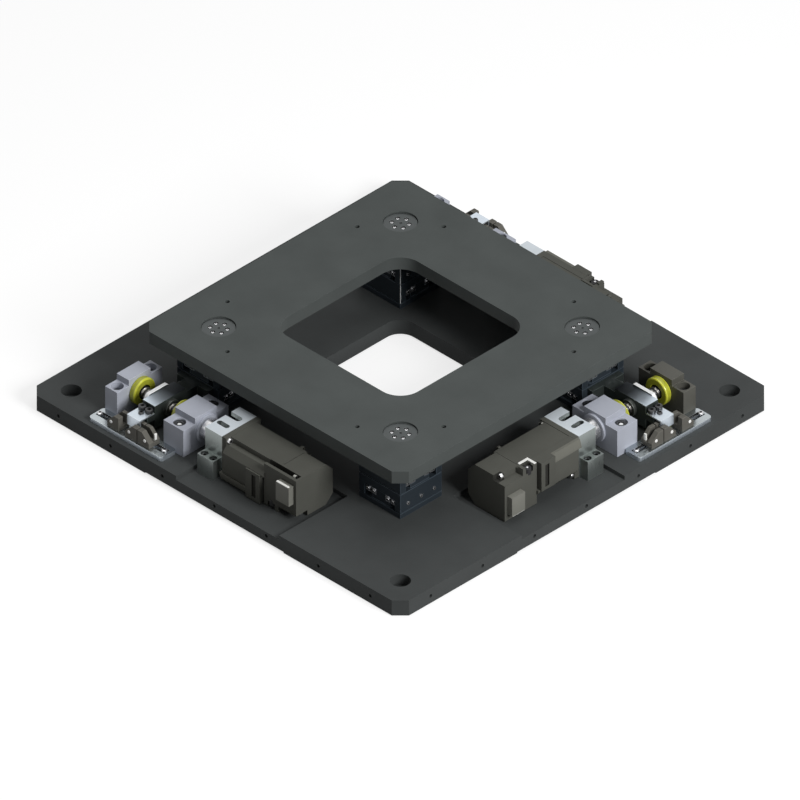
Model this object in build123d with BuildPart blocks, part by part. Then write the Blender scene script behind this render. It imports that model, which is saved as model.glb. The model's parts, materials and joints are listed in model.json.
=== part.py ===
from build123d import *
import os
from math import sqrt

# All lengths are in millimetres.
# The stage has four guide modules, one under each corner of the top plate, and three
# screw drives. Everything is drawn once at corner c, back left, where the drive's screw
# runs along X, and is then carried to the other corners.

# Base plate
base_side = 430.0
base_thick = 15.0
base_corner = 10.0
base_aperture = 150.0
base_aperture_radius = 15.0
relief_width = 160.0
relief_depth = 1.0

# Mounting holes of the base plate, counterbored for 10 mm screws
mount_pitch = 380.0
mount_hole_radius = 5.5
mount_bore_radius = 8.75
mount_bore_depth = 10.8

# Small tapped holes along the four edges of the base plate
edge_tap_radius = 1.65
edge_tap_depth = 8.0
edge_tap_height = 7.0
edge_tap_pitch = 60.0
edge_tap_count = 7

# Top plate
top_side = 300.0
top_thick = 12.0
top_corner = 10.0
top_aperture = 150.0
top_aperture_radius = 20.0
top_tap_radius = 2.1
top_tap_far = 125.0
top_tap_near = 75.0

# Guide module: a foot, a carriage and a saddle, crossed at right angles
pivot_pitch = 210.0
module_side = 48.0
foot_thick = 5.0
carriage_web = 8.0
saddle_web = 10.0
wall_gap = 0.5
ridge_gap = 1.0

# Crossed-roller rails and their cages
rail_length = 45.0
rail_width = 5.6
rail_height = 6.0
rail_gap = 0.8
ridge_width = 10.6
shoulder_height = 4.0
roller_diameter = 2.0
roller_length = 1.9
roller_clearance = 0.1
roller_pitch = 4.0
roller_count = 7
cage_thick = 0.4
cage_height = 4.4
cage_end = 2.0
window_clearance = 0.06

# Pivot of each saddle in the top plate
pedestal_radius = 13.0
pedestal_height = 6.7
pivot_gap = 0.3
journal_radius = 10.0
bearing_radius = 18.0
bearing_height = 8.0
cap_radius = 14.0
cap_gap = 0.5
cap_ledge = 1.0
cap_screw_ring = 7.0
cap_screw_count = 6
cap_screw_radius = 1.6
cap_screw_depth = 1.2
cap_dimple_radius = 3.0

# Fits
running_fit = 0.05
seat_fit = 0.02

# Drive line: where the screw runs, from the pivot line and from the base plate
screw_offset = 61.0
screw_height = 17.0
nut_shift = 3.25
stop_travel = 9.0

# Ball screw and its nut
screw_radius = 5.0
fixed_journal_radius = 4.0
end_journal_radius = 3.0
end_journal_inset = 2.0
nut_clearance = 0.3
nut_body_radius = 7.6
nut_neck_length = 3.0
nut_flange_radius = 15.0
nut_flange_height = 21.2
nut_flange_length = 3.5
nut_tail_length = 3.0
lock_nut_radius = 10.0
lock_nut_length = 6.0
lock_nut_gap = 0.5

# Bearing blocks at the two ends of the screw
block_width = 52.0
block_crown_width = 25.0
block_shoulder = 26.0
block_crown = 32.0
support_length = 14.0
fixed_length = 23.0
block_bolt_pitch = 38.0
block_bolt_radius = 3.0
block_hole_radius = 3.3
block_counterbore_radius = 5.5
support_counterbore_depth = 12.0
fixed_counterbore_depth = 7.0
block_head_radius = 5.0
block_head_height = 6.0
block_socket_radius = 2.9
block_socket_depth = 3.0
block_bolt_grip = 8.0
lid_radius = 12.5
lid_thick = 2.0
lid_bore_radius = 6.0
support_bearing_radius = 8.5
support_bearing_width = 6.0
fixed_bearing_radius = 11.0
fixed_bearing_width = 14.0
bearing_shoulder_gap = 0.3

# Yellow stoppers that end the travel
stopper_radius = 12.5
stopper_bore_radius = 6.5
stopper_thick = 6.0
stopper_chamfer = 0.8

# Bracket that ties the nut to its carriage
bracket_thick = 14.0
bracket_half_width = 18.0
bracket_low = 13.0
bracket_high = 9.4
bracket_flange_length = 36.0
bracket_flange_thick = 6.0
bracket_flange_low = 10.0
bracket_flange_high = 6.0
wing_reach = 27.0
wing_low = 4.0
wing_high = 2.0

# Sensor dog, its plate and the three slotted sensors
dog_width = 15.0
dog_thick = 1.5
dog_tab_depth = 10.0
dog_root_gap = 1.0
sensor_plate_length = 84.0
sensor_plate_width = 18.0
sensor_plate_thick = 4.0
sensor_plate_radius = 3.0
sensor_slot_length = 14.0
sensor_slot_width = 5.0
sensor_slot_pitch = 63.0
sensor_slot_shift = 1.5
sensor_width = 13.4
sensor_height = 13.0
sensor_floor = 4.0
sensor_leg = 5.25
sensor_inner_leg = 3.5
sensor_slot = 4.0
sensor_corner = 8.0
sensor_limit = 17.5
sensor_home = 3.2

# Coupling and the motor's shaft
coupling_radius = 10.0
coupling_length = 24.0
coupling_gap = 0.5
coupling_waist_radius = 8.8
coupling_waist_length = 6.0
coupling_slit = 1.0
shaft_radius = 4.0
shaft_gap = 1.0
shaft_depth = 14.0
shaft_room = 0.3

# Motor mount
mount_length = 19.5
mount_wall = 5.0
mount_roof = 4.0
mount_plate = 4.0
mount_coupling_gap = 1.5
mount_foot_width = 9.0
mount_foot_length = 18.0
mount_foot_height = 19.0
mount_slot_length = 13.0
mount_slot_width = 5.0
mount_slot_inset = 1.5
mount_notch_width = 6.6
mount_notch_depth = 14.5
mount_slot_offset = 7.0

# Motor
motor_side = 40.0
motor_flange = 5.0
pilot_radius = 15.0
pilot_height = 2.0
stator_side = 39.0
stator_length = 58.0
stator_channel = 5.0
seam_side = 38.4
seam_length = 1.0
cap_length = 24.0
cap_corner = 8.0
cap_shoulder_at = 14.0
cap_shoulder_drop = 5.0
cap_reach = 22.5
lead_brow = 20.0
lead_top = 18.0
lead_reach = 24.7
lead_slope_end = 10.0
plug_start = 6.0
plug_length = 15.0
plug_reach = 28.0
plug_low = 14.0
plug_high = 4.0
power_box_start = 28.0
power_box_length = 16.0
power_box_reach = 26.0
power_box_low = 8.0
receptacle_start = 46.0
receptacle_length = 16.0
receptacle_inner = 12.0
receptacle_bore_radius = 4.8
receptacle_bore_depth = 9.0

# Pocket in the base plate under each motor
pocket_depth = 4.0
pocket_front_room = 4.5
pocket_back_room = 7.0
pocket_inner_room = 1.0
cut_overrun = 1.0

# Levels, up from the table
foot_top = base_thick + foot_thick
rail_low = shoulder_height
rail_mid = rail_low + rail_height / 2
rail_top = rail_low + rail_height
ceiling = rail_top + ridge_gap
carriage_top = foot_top + ceiling + carriage_web
saddle_top = carriage_top + ceiling + saddle_web
top_low = saddle_top + pedestal_height + pivot_gap
top_high = top_low + top_thick
axis_height = base_thick + screw_height

# Half widths across a guide
ridge_half = ridge_width / 2
inner_far = ridge_half + rail_width
outer_near = inner_far + rail_gap
outer_far = outer_near + rail_width
cage_middle = inner_far + rail_gap / 2
groove_depth = (roller_diameter / 2 + roller_clearance) * sqrt(2) - rail_gap / 2

# Places in plan
pivot = pivot_pitch / 2
screw_line = pivot + screw_offset

# Stations along the screw, from the support block to the motor
nut_length = nut_neck_length + nut_flange_length + bracket_thick + nut_tail_length
nut_left = -pivot - nut_shift - nut_length / 2
bracket_left = nut_left + nut_neck_length + nut_flange_length
nut_right = nut_left + nut_length
support_right = nut_left - stop_travel - stopper_thick
support_left = support_right - support_length
support_bearing_left = support_left + (support_length - support_bearing_width) / 2
support_bearing_right = support_bearing_left + support_bearing_width
fixed_left = nut_right + stop_travel + stopper_thick
fixed_right = fixed_left + fixed_length
fixed_bearing_left = fixed_left + (fixed_length - fixed_bearing_width) / 2
lock_nut_left = fixed_right + lid_thick + lock_nut_gap
lock_nut_right = lock_nut_left + lock_nut_length
coupling_left = lock_nut_right + coupling_gap
coupling_right = coupling_left + coupling_length
coupling_middle = (coupling_left + coupling_right) / 2
motor_front = coupling_right + mount_coupling_gap + mount_plate
mount_left = motor_front - mount_length
stator_left = motor_front + motor_flange
motor_cap_left = stator_left + stator_length + seam_length
motor_right = motor_cap_left + cap_length
nut_middle = -pivot - nut_shift
dog_middle = bracket_left + bracket_thick / 2
mount_floor = axis_height - (base_thick - pocket_depth)
sensor_line = screw_line + block_width / 2 + sensor_plate_width / 2
sensor_base = base_thick + sensor_plate_thick

drives = "abc"
corners = "abcd"
screw_axis = Axis((0, screw_line, axis_height), (1, 0, 0))
lengthwise = Plane(origin=(0, screw_line, axis_height), x_dir=(1, 0, 0), z_dir=(0, -1, 0))


def across(station):
    """Plane square to the screw: its x is outward from the stage, its y is up."""
    return Plane(origin=(station, screw_line, axis_height), x_dir=(0, 1, 0), z_dir=(1, 0, 0))


def carried(piece, corner):
    """The piece drawn at corner c, carried to the corner that is named."""
    with BuildPart() as copy:
        add(piece, rotation=(0, 0, -90 if corner in "bd" else 0))
        if corner in "ad":
            mirror(about=Plane.XZ, mode=Mode.REPLACE)
    return copy.part


def gathered(piece, places):
    """Copies of one piece at several corners, as separate solids of one node."""
    with BuildPart() as group:
        for corner in places:
            add(carried(piece, corner))
    return group.part


def write(name, piece):
    """Label a finished piece and write it out."""
    piece.label = name
    export_step(piece, f"parts/{name}.step")


def on_drives(along, outward):
    """A point of drive c and the same point of all three drives, with each one's turn."""
    return [
        Location((along, -outward, 0)),
        Location((outward, -along, 0), (0, 0, -90)),
        Location((along, outward, 0)),
    ]


def stepped(start, steps):
    """Points of a stepped radius: each step is an end station and a radius."""
    points = []
    for end, radius in steps:
        points += [(start, radius), (end, radius)]
        start = end
    return points


def turned(start, outer, inner=None):
    """A turned piece on the screw's line, bored where inner steps are given."""
    bore = stepped(start, inner or [(outer[-1][0], 0)])
    with BuildPart() as piece:
        with BuildSketch(lengthwise):
            with BuildLine():
                Polyline(*stepped(start, outer), *reversed(bore), close=True)
            make_face()
        revolve(axis=screw_axis)
    return piece.part


# Guide outlines, drawn across the guide with its plate's top at zero
def ridge_outline():
    """Ridge with a shoulder on each side, on which the inner rails sit."""
    with BuildSketch() as outline:
        with BuildLine():
            Polyline(
                (-inner_far, 0),
                (inner_far, 0),
                (inner_far, rail_low),
                (ridge_half, rail_low),
                (ridge_half, rail_top),
                (-ridge_half, rail_top),
                (-ridge_half, rail_low),
                (-inner_far, rail_low),
                close=True,
            )
        make_face()
    return outline.sketch


def bridge_outline(web):
    """Block that straddles the ridge and holds the outer rails in its two corners."""
    half = module_side / 2
    with BuildSketch() as outline:
        with BuildLine():
            Polyline(
                (-half, wall_gap),
                (-half, ceiling + web),
                (half, ceiling + web),
                (half, wall_gap),
                (outer_far, wall_gap),
                (outer_far, rail_top),
                (outer_near, rail_top),
                (outer_near, ceiling),
                (-outer_near, ceiling),
                (-outer_near, rail_top),
                (-outer_far, rail_top),
                (-outer_far, wall_gap),
                close=True,
            )
        make_face()
    return outline.sketch


def rail_outline(face, back):
    """Pair of rails, each with its roller groove in the face and its back to its seat."""
    inward = 1 if back > face else -1
    with BuildSketch() as outline:
        with BuildLine():
            Polyline(
                (back, rail_low),
                (back, rail_top),
                (face, rail_top),
                (face, rail_mid + groove_depth),
                (face + inward * groove_depth, rail_mid),
                (face, rail_mid - groove_depth),
                (face, rail_low),
                close=True,
            )
        make_face()
        mirror(about=Plane.YZ)
    return outline.sketch


# Each guide is drawn along X with its plate's top at zero, then set on its level.
def rail_pair(face, back):
    """Two rails of one guide."""
    with BuildPart() as rails:
        with BuildSketch(Plane.YZ):
            add(rail_outline(face, back))
        extrude(amount=rail_length / 2, both=True)
    return rails.part


def cage_pair():
    """Two roller cages of one guide, with rollers crossed at right angles in turn."""
    cage_length = (roller_count - 1) * roller_pitch + roller_diameter + 2 * cage_end
    window_width = roller_diameter + 2 * window_clearance
    window_height = (roller_diameter + 2 * window_clearance) * sqrt(2) + cage_thick
    stations = [(index - (roller_count - 1) / 2) * roller_pitch for index in range(roller_count)]
    with BuildPart() as cages:
        with BuildSketch(Plane.XZ.offset(-cage_thick / 2)):
            with Locations((0, rail_mid)):
                Rectangle(cage_length, cage_height)
            with Locations(*[(station, rail_mid) for station in stations]):
                Rectangle(window_width, window_height, mode=Mode.SUBTRACT)
        extrude(amount=cage_thick)
    with BuildPart() as pair:
        for side in (-1, 1):
            with Locations((0, side * cage_middle, 0)):
                add(cages.part)
            for index, station in enumerate(stations):
                tilt = 45 if index % 2 else -45
                with Locations((station, side * cage_middle, rail_mid)):
                    Cylinder(roller_diameter / 2, roller_length, rotation=(tilt, 0, 0))
    return pair.part


def on_lower(piece):
    """A guide piece set on the foot of module c, along X."""
    return piece.moved(Location((-pivot, pivot, foot_top)))


def on_upper(piece):
    """A guide piece set on the carriage of module c, along Y."""
    return piece.moved(Location((-pivot, pivot, carriage_top), (0, 0, 90)))


# Foot of a module: a plate with the lower guide's ridge
with BuildPart() as foot:
    with BuildSketch(Plane.XY.offset(-foot_thick)):
        Rectangle(module_side, module_side)
    extrude(amount=foot_thick)
    with BuildSketch(Plane.YZ):
        add(ridge_outline())
    extrude(amount=rail_length / 2, both=True)

# Carriage: bridge over the lower guide, with the upper guide's ridge across its top
with BuildPart() as carriage:
    with BuildSketch(Plane.YZ):
        add(bridge_outline(carriage_web))
    extrude(amount=module_side / 2, both=True)
    with BuildSketch(Plane.XZ):
        with Locations((0, ceiling + carriage_web)):
            add(ridge_outline())
    extrude(amount=rail_length / 2, both=True)

# Saddle: bridge over the upper guide, with the pedestal and journal of its pivot
journal_height = pedestal_height + pivot_gap + bearing_height + cap_ledge
with BuildPart() as saddle:
    with BuildSketch(Plane.YZ):
        add(bridge_outline(saddle_web))
    extrude(amount=module_side / 2, both=True)
    with BuildSketch(Plane.XY.offset(ceiling + saddle_web)):
        Circle(pedestal_radius)
    extrude(amount=pedestal_height)
    with BuildSketch(Plane.XY.offset(ceiling + saddle_web)):
        Circle(journal_radius)
    extrude(amount=journal_height)

lower_inner_rails = on_lower(rail_pair(inner_far, ridge_half))
lower_outer_rails = on_lower(rail_pair(outer_near, outer_far))
upper_inner_rails = on_upper(rail_pair(inner_far, ridge_half))
upper_outer_rails = on_upper(rail_pair(outer_near, outer_far))
lower_cages = on_lower(cage_pair())
upper_cages = on_upper(cage_pair())

# Cap that closes each pivot, flush with the top plate
cap_low = saddle_top + journal_height
with BuildPart() as pivot_cap:
    with BuildSketch(Plane.XY.offset(cap_low)):
        with Locations((-pivot, pivot)):
            Circle(cap_radius)
    extrude(amount=top_high - cap_low)
    with BuildSketch(Plane.XY.offset(top_high)):
        with Locations((-pivot, pivot)):
            Circle(cap_dimple_radius)
            with PolarLocations(cap_screw_ring, cap_screw_count):
                Circle(cap_screw_radius)
    extrude(amount=-cap_screw_depth, mode=Mode.SUBTRACT)

# Bearing ring pressed into the top plate's underside
with BuildPart() as bearing_ring:
    with BuildSketch(Plane.XY.offset(top_low)):
        with Locations((-pivot, pivot)):
            Circle(bearing_radius)
            Circle(journal_radius + running_fit, mode=Mode.SUBTRACT)
    extrude(amount=bearing_height)

# Top plate
with BuildPart() as top_plate:
    with BuildSketch(Plane.XY.offset(top_low)):
        Rectangle(top_side, top_side)
    extrude(amount=top_thick)
    chamfer(top_plate.edges().filter_by(Axis.Z), length=top_corner)
    with BuildSketch(Plane.XY.offset(top_low)):
        RectangleRounded(top_aperture, top_aperture, top_aperture_radius)
        with GridLocations(pivot_pitch, pivot_pitch, 2, 2):
            Circle(cap_radius + cap_gap)
        with GridLocations(2 * top_tap_far, 2 * top_tap_near, 2, 2):
            Circle(top_tap_radius)
        with GridLocations(2 * top_tap_near, 2 * top_tap_far, 2, 2):
            Circle(top_tap_radius)
    extrude(amount=top_thick, mode=Mode.SUBTRACT)
    with BuildSketch(Plane.XY.offset(top_low)):
        with GridLocations(pivot_pitch, pivot_pitch, 2, 2):
            Circle(bearing_radius + seat_fit)
    extrude(amount=bearing_height, mode=Mode.SUBTRACT)

# Base plate: aperture, corner pads, screw holes, motor pockets and edge taps
pocket_left = mount_left - pocket_front_room
pocket_right = motor_right + pocket_back_room
pocket_inner = screw_line - motor_side / 2 - mount_foot_width - pocket_inner_room
pocket_outer = base_side / 2 + cut_overrun
pocket_length = pocket_right - pocket_left
pocket_width = pocket_outer - pocket_inner
pocket_spots = on_drives((pocket_left + pocket_right) / 2, (pocket_inner + pocket_outer) / 2)
support_bolt_spots, fixed_bolt_spots = (
    [
        spot
        for side in (-1, 1)
        for spot in on_drives(station, screw_line + side * block_bolt_pitch / 2)
    ]
    for station in ((support_left + support_right) / 2, (fixed_left + fixed_right) / 2)
)
with BuildPart() as base_plate:
    with BuildSketch():
        Rectangle(base_side, base_side)
    extrude(amount=base_thick)
    chamfer(base_plate.edges().filter_by(Axis.Z), length=base_corner)
    with BuildSketch():
        RectangleRounded(base_aperture, base_aperture, base_aperture_radius)
    extrude(amount=base_thick, mode=Mode.SUBTRACT)
    with BuildSketch():
        Rectangle(base_side + 2 * cut_overrun, relief_width)
        Rectangle(relief_width, base_side + 2 * cut_overrun)
    extrude(amount=relief_depth, mode=Mode.SUBTRACT)
    with Locations((0, 0, base_thick)):
        with GridLocations(mount_pitch, mount_pitch, 2, 2):
            CounterBoreHole(mount_hole_radius, mount_bore_radius, mount_bore_depth)
    with BuildSketch(Plane.XY.offset(base_thick)):
        with Locations(*pocket_spots):
            Rectangle(pocket_length, pocket_width)
    extrude(amount=-pocket_depth, mode=Mode.SUBTRACT)
    with BuildSketch(Plane.XY.offset(base_thick)):
        with Locations(*support_bolt_spots, *fixed_bolt_spots):
            Circle(block_bolt_radius)
    extrude(amount=-(block_bolt_grip + cut_overrun), mode=Mode.SUBTRACT)
    for outward in ((1, 0, 0), (-1, 0, 0), (0, 1, 0), (0, -1, 0)):
        edge = Plane(
            origin=(outward[0] * base_side / 2, outward[1] * base_side / 2, edge_tap_height),
            x_dir=(-outward[1], outward[0], 0),
            z_dir=outward,
        )
        with BuildSketch(edge):
            with GridLocations(edge_tap_pitch, 1, edge_tap_count, 1):
                Circle(edge_tap_radius)
        extrude(amount=-edge_tap_depth, mode=Mode.SUBTRACT)


def bearing_block(left, length, bore_radius, counterbore_depth):
    """Stepped block that stands on the base plate and holds a screw bearing."""
    half_crown = block_crown_width / 2
    half_block = block_width / 2
    with BuildPart() as block:
        with BuildSketch(across(left)):
            with BuildLine():
                Polyline(
                    (-half_block, -screw_height),
                    (half_block, -screw_height),
                    (half_block, block_shoulder - screw_height),
                    (half_crown, block_shoulder - screw_height),
                    (half_crown, block_crown - screw_height),
                    (-half_crown, block_crown - screw_height),
                    (-half_crown, block_shoulder - screw_height),
                    (-half_block, block_shoulder - screw_height),
                    close=True,
                )
            make_face()
            Circle(bore_radius, mode=Mode.SUBTRACT)
        extrude(amount=length)
        with Locations((left + length / 2, screw_line, base_thick + block_shoulder)):
            with GridLocations(1, block_bolt_pitch, 1, 2):
                CounterBoreHole(
                    block_hole_radius,
                    block_counterbore_radius,
                    counterbore_depth,
                    depth=block_shoulder,
                )
    return block.part


support_block = bearing_block(
    support_left, support_length, support_bearing_radius, support_counterbore_depth
)

# Fixed block: the same form, longer, with the bearing lid on its motor side
with BuildPart() as fixed_block:
    add(bearing_block(fixed_left, fixed_length, fixed_bearing_radius, fixed_counterbore_depth))
    with BuildSketch(across(fixed_right)):
        Circle(lid_radius)
        Circle(lid_bore_radius, mode=Mode.SUBTRACT)
    extrude(amount=lid_thick)


def hold_down_screws(spots, counterbore_depth):
    """Socket-head screws seated in the counterbores of one kind of block."""
    head_seat = base_thick + block_shoulder - counterbore_depth
    with BuildPart() as screws:
        with BuildSketch(Plane.XY.offset(head_seat)):
            with Locations(*spots):
                Circle(block_head_radius)
        extrude(amount=block_head_height)
        with BuildSketch(Plane.XY.offset(base_thick - block_bolt_grip)):
            with Locations(*spots):
                Circle(block_bolt_radius - seat_fit)
        extrude(amount=head_seat - base_thick + block_bolt_grip)
        with BuildSketch(Plane.XY.offset(head_seat + block_head_height)):
            with Locations(*spots):
                RegularPolygon(block_socket_radius, 6)
        extrude(amount=-block_socket_depth, mode=Mode.SUBTRACT)
    return screws.part


with BuildPart() as block_screws:
    add(hold_down_screws(support_bolt_spots, support_counterbore_depth))
    add(hold_down_screws(fixed_bolt_spots, fixed_counterbore_depth))

# Bearings in the two blocks
with BuildPart() as screw_bearings:
    add(
        turned(
            support_bearing_left,
            [(support_bearing_right, support_bearing_radius - seat_fit)],
            [(support_bearing_right, end_journal_radius + running_fit)],
        )
    )
    fixed_bearing_right = fixed_bearing_left + fixed_bearing_width
    add(
        turned(
            fixed_bearing_left,
            [(fixed_bearing_right, fixed_bearing_radius - seat_fit)],
            [(fixed_bearing_right, fixed_journal_radius + running_fit)],
        )
    )


def stopper(left):
    """Soft ring round the screw, against the face of a block."""
    right = left + stopper_thick
    with BuildPart() as ring:
        add(turned(left, [(right, stopper_radius)], [(right, stopper_bore_radius)]))
        rims = ring.edges().filter_by(GeomType.CIRCLE).group_by(SortBy.RADIUS)[-1]
        chamfer(rims, length=stopper_chamfer)
    return ring.part


with BuildPart() as stoppers:
    add(stopper(support_right))
    add(stopper(fixed_left - stopper_thick))

# Ball screw with its journals and lock nut
ball_screw = turned(
    support_left + end_journal_inset,
    [
        (support_bearing_right + bearing_shoulder_gap, end_journal_radius),
        (fixed_bearing_left - bearing_shoulder_gap, screw_radius),
        (lock_nut_left, fixed_journal_radius),
        (lock_nut_right, lock_nut_radius),
        (coupling_middle - shaft_gap, end_journal_radius),
    ],
)

# Ball nut, its flange cut flat above and below
with BuildPart() as ball_nut:
    add(
        turned(
            nut_left,
            [
                (nut_left + nut_neck_length, nut_body_radius),
                (bracket_left, nut_flange_radius),
                (nut_right, nut_body_radius),
            ],
            [(nut_right, screw_radius + nut_clearance)],
        )
    )
    with BuildSketch(across(nut_left)):
        Rectangle(2 * nut_flange_radius, nut_flange_height)
    extrude(amount=nut_length, mode=Mode.INTERSECT)

# Nut bracket: block round the nut, neck and flange to the carriage, wing for the dog
carriage_face = -(screw_offset - module_side / 2)
flange_face = carriage_face + bracket_flange_thick
with BuildPart() as nut_bracket:
    with BuildSketch(across(bracket_left)):
        with BuildLine():
            Polyline(
                (flange_face, -bracket_flange_low),
                (-bracket_half_width, -bracket_flange_low),
                (-bracket_half_width, -bracket_low),
                (bracket_half_width, -bracket_low),
                (bracket_half_width, -wing_low),
                (wing_reach, -wing_low),
                (wing_reach, wing_high),
                (bracket_half_width, wing_high),
                (bracket_half_width, bracket_high),
                (-bracket_half_width, bracket_high),
                (-bracket_half_width, bracket_flange_high),
                (flange_face, bracket_flange_high),
                close=True,
            )
        make_face()
        Circle(nut_body_radius + seat_fit, mode=Mode.SUBTRACT)
    extrude(amount=bracket_thick)
    with BuildSketch(across(-pivot - bracket_flange_length / 2)):
        with Locations((carriage_face, -bracket_flange_low)):
            Rectangle(
                bracket_flange_thick,
                bracket_flange_low + bracket_flange_high,
                align=(Align.MIN, Align.MIN),
            )
    extrude(amount=bracket_flange_length)

# Sensor dog: a flat arm on the bracket's wing, with a tab that hangs in the sensors' slots
sensor_offset = sensor_line - screw_line
dog_root = bracket_half_width + dog_root_gap
with BuildPart() as sensor_dog:
    with BuildSketch(across(dog_middle - dog_width / 2)):
        with Locations((dog_root, wing_high)):
            Rectangle(
                sensor_offset + dog_thick / 2 - dog_root,
                dog_thick,
                align=(Align.MIN, Align.MIN),
            )
        with Locations((sensor_offset, wing_high + dog_thick)):
            Rectangle(dog_thick, dog_tab_depth, align=(Align.CENTER, Align.MAX))
    extrude(amount=dog_width)

# Sensor plate, slotted at both ends
with BuildPart() as sensor_plate:
    with BuildSketch(Plane.XY.offset(base_thick)):
        with Locations((nut_middle, sensor_line)):
            RectangleRounded(sensor_plate_length, sensor_plate_width, sensor_plate_radius)
        with Locations((nut_middle - sensor_slot_shift, sensor_line)):
            with GridLocations(sensor_slot_pitch, 1, 2, 1):
                SlotOverall(sensor_slot_length, sensor_slot_width, mode=Mode.SUBTRACT)
    extrude(amount=sensor_plate_thick)


def slotted_sensor(station, facing):
    """Fork-shaped sensor that straddles the dog's tab, one upper corner cut off."""
    half = sensor_width / 2
    inner = sensor_offset - sensor_slot / 2 - sensor_inner_leg
    outer = sensor_offset + sensor_slot / 2 + sensor_leg
    low = sensor_base - axis_height
    side_on = Plane(
        origin=(station, screw_line + inner, sensor_base), x_dir=(facing, 0, 0), z_dir=(0, -facing, 0)
    )
    with BuildPart() as sensor:
        with BuildSketch(across(station - half)):
            with Locations((inner, low)):
                Rectangle(outer - inner, sensor_height, align=(Align.MIN, Align.MIN))
            with Locations((sensor_offset, low + sensor_height)):
                Rectangle(
                    sensor_slot,
                    sensor_height - sensor_floor,
                    align=(Align.CENTER, Align.MAX),
                    mode=Mode.SUBTRACT,
                )
        extrude(amount=sensor_width)
        with BuildSketch(side_on):
            with BuildLine():
                Polyline(
                    (half, sensor_height - sensor_corner),
                    (half, sensor_height),
                    (half - sensor_corner, sensor_height),
                    close=True,
                )
            make_face()
        extrude(amount=facing * (inner - outer), mode=Mode.SUBTRACT)
    return sensor.part


with BuildPart() as photo_sensors:
    for shift, facing in ((-sensor_limit, -1), (sensor_home, -1), (sensor_limit, 1)):
        add(slotted_sensor(dog_middle + shift, facing))

# Clamp coupling with its waist and slit
waist_left = coupling_middle - coupling_waist_length / 2
waist_right = coupling_middle + coupling_waist_length / 2
with BuildPart() as coupling:
    add(
        turned(
            coupling_left,
            [
                (waist_left, coupling_radius),
                (waist_right, coupling_waist_radius),
                (coupling_right, coupling_radius),
            ],
            [
                (coupling_middle, end_journal_radius + seat_fit),
                (coupling_right, shaft_radius + seat_fit),
            ],
        )
    )
    for left, right in ((coupling_left, waist_left), (waist_right, coupling_right)):
        with BuildSketch(across(left)):
            Rectangle(coupling_slit, coupling_radius, align=(Align.CENTER, Align.MIN))
        extrude(amount=right - left, mode=Mode.SUBTRACT)

# Motor shaft, from the coupling into the motor
motor_shaft = turned(
    coupling_middle + shaft_gap,
    [(motor_front + shaft_depth, shaft_radius)],
)
with BuildPart() as coupling_set:
    add(coupling.part)
    add(motor_shaft)

# Motor mount: a bridge over the coupling with a face plate, two feet and a slotted roof
mount_half = motor_side / 2
mount_slot_middle = mount_left + mount_slot_inset + mount_slot_length / 2
with BuildPart() as motor_mount:
    with BuildSketch(across(mount_left)):
        with Locations((0, mount_half)):
            Rectangle(motor_side, mount_half + mount_floor, align=(Align.CENTER, Align.MAX))
        with Locations((0, mount_half - mount_roof)):
            Rectangle(
                motor_side - 2 * mount_wall,
                mount_half - mount_roof + mount_floor,
                align=(Align.CENTER, Align.MAX),
                mode=Mode.SUBTRACT,
            )
        for side in (-1, 1):
            align_across = Align.MIN if side > 0 else Align.MAX
            with Locations((side * mount_half, -mount_floor)):
                Rectangle(mount_foot_width, mount_foot_height, align=(align_across, Align.MIN))
    extrude(amount=mount_foot_length)
    with BuildSketch(across(mount_left)):
        with Locations((0, mount_half)):
            Rectangle(motor_side, mount_half + mount_floor, align=(Align.CENTER, Align.MAX))
        with Locations((0, mount_half - mount_roof)):
            Rectangle(
                motor_side - 2 * mount_wall,
                mount_half - mount_roof + mount_floor,
                align=(Align.CENTER, Align.MAX),
                mode=Mode.SUBTRACT,
            )
    extrude(amount=mount_length)
    with BuildSketch(across(motor_front - mount_plate)):
        with Locations((0, mount_half)):
            Rectangle(motor_side, mount_half + mount_floor, align=(Align.CENTER, Align.MAX))
        Circle(pilot_radius + seat_fit, mode=Mode.SUBTRACT)
    extrude(amount=mount_plate)
    with BuildSketch(Plane.XY.offset(axis_height + mount_half)):
        with Locations((mount_slot_middle, screw_line + mount_slot_offset)):
            SlotOverall(mount_slot_length, mount_slot_width)
        with Locations((mount_left, screw_line - mount_slot_offset)):
            SlotOverall(2 * mount_notch_depth, mount_notch_width)
    extrude(amount=-mount_roof, mode=Mode.SUBTRACT)

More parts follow.
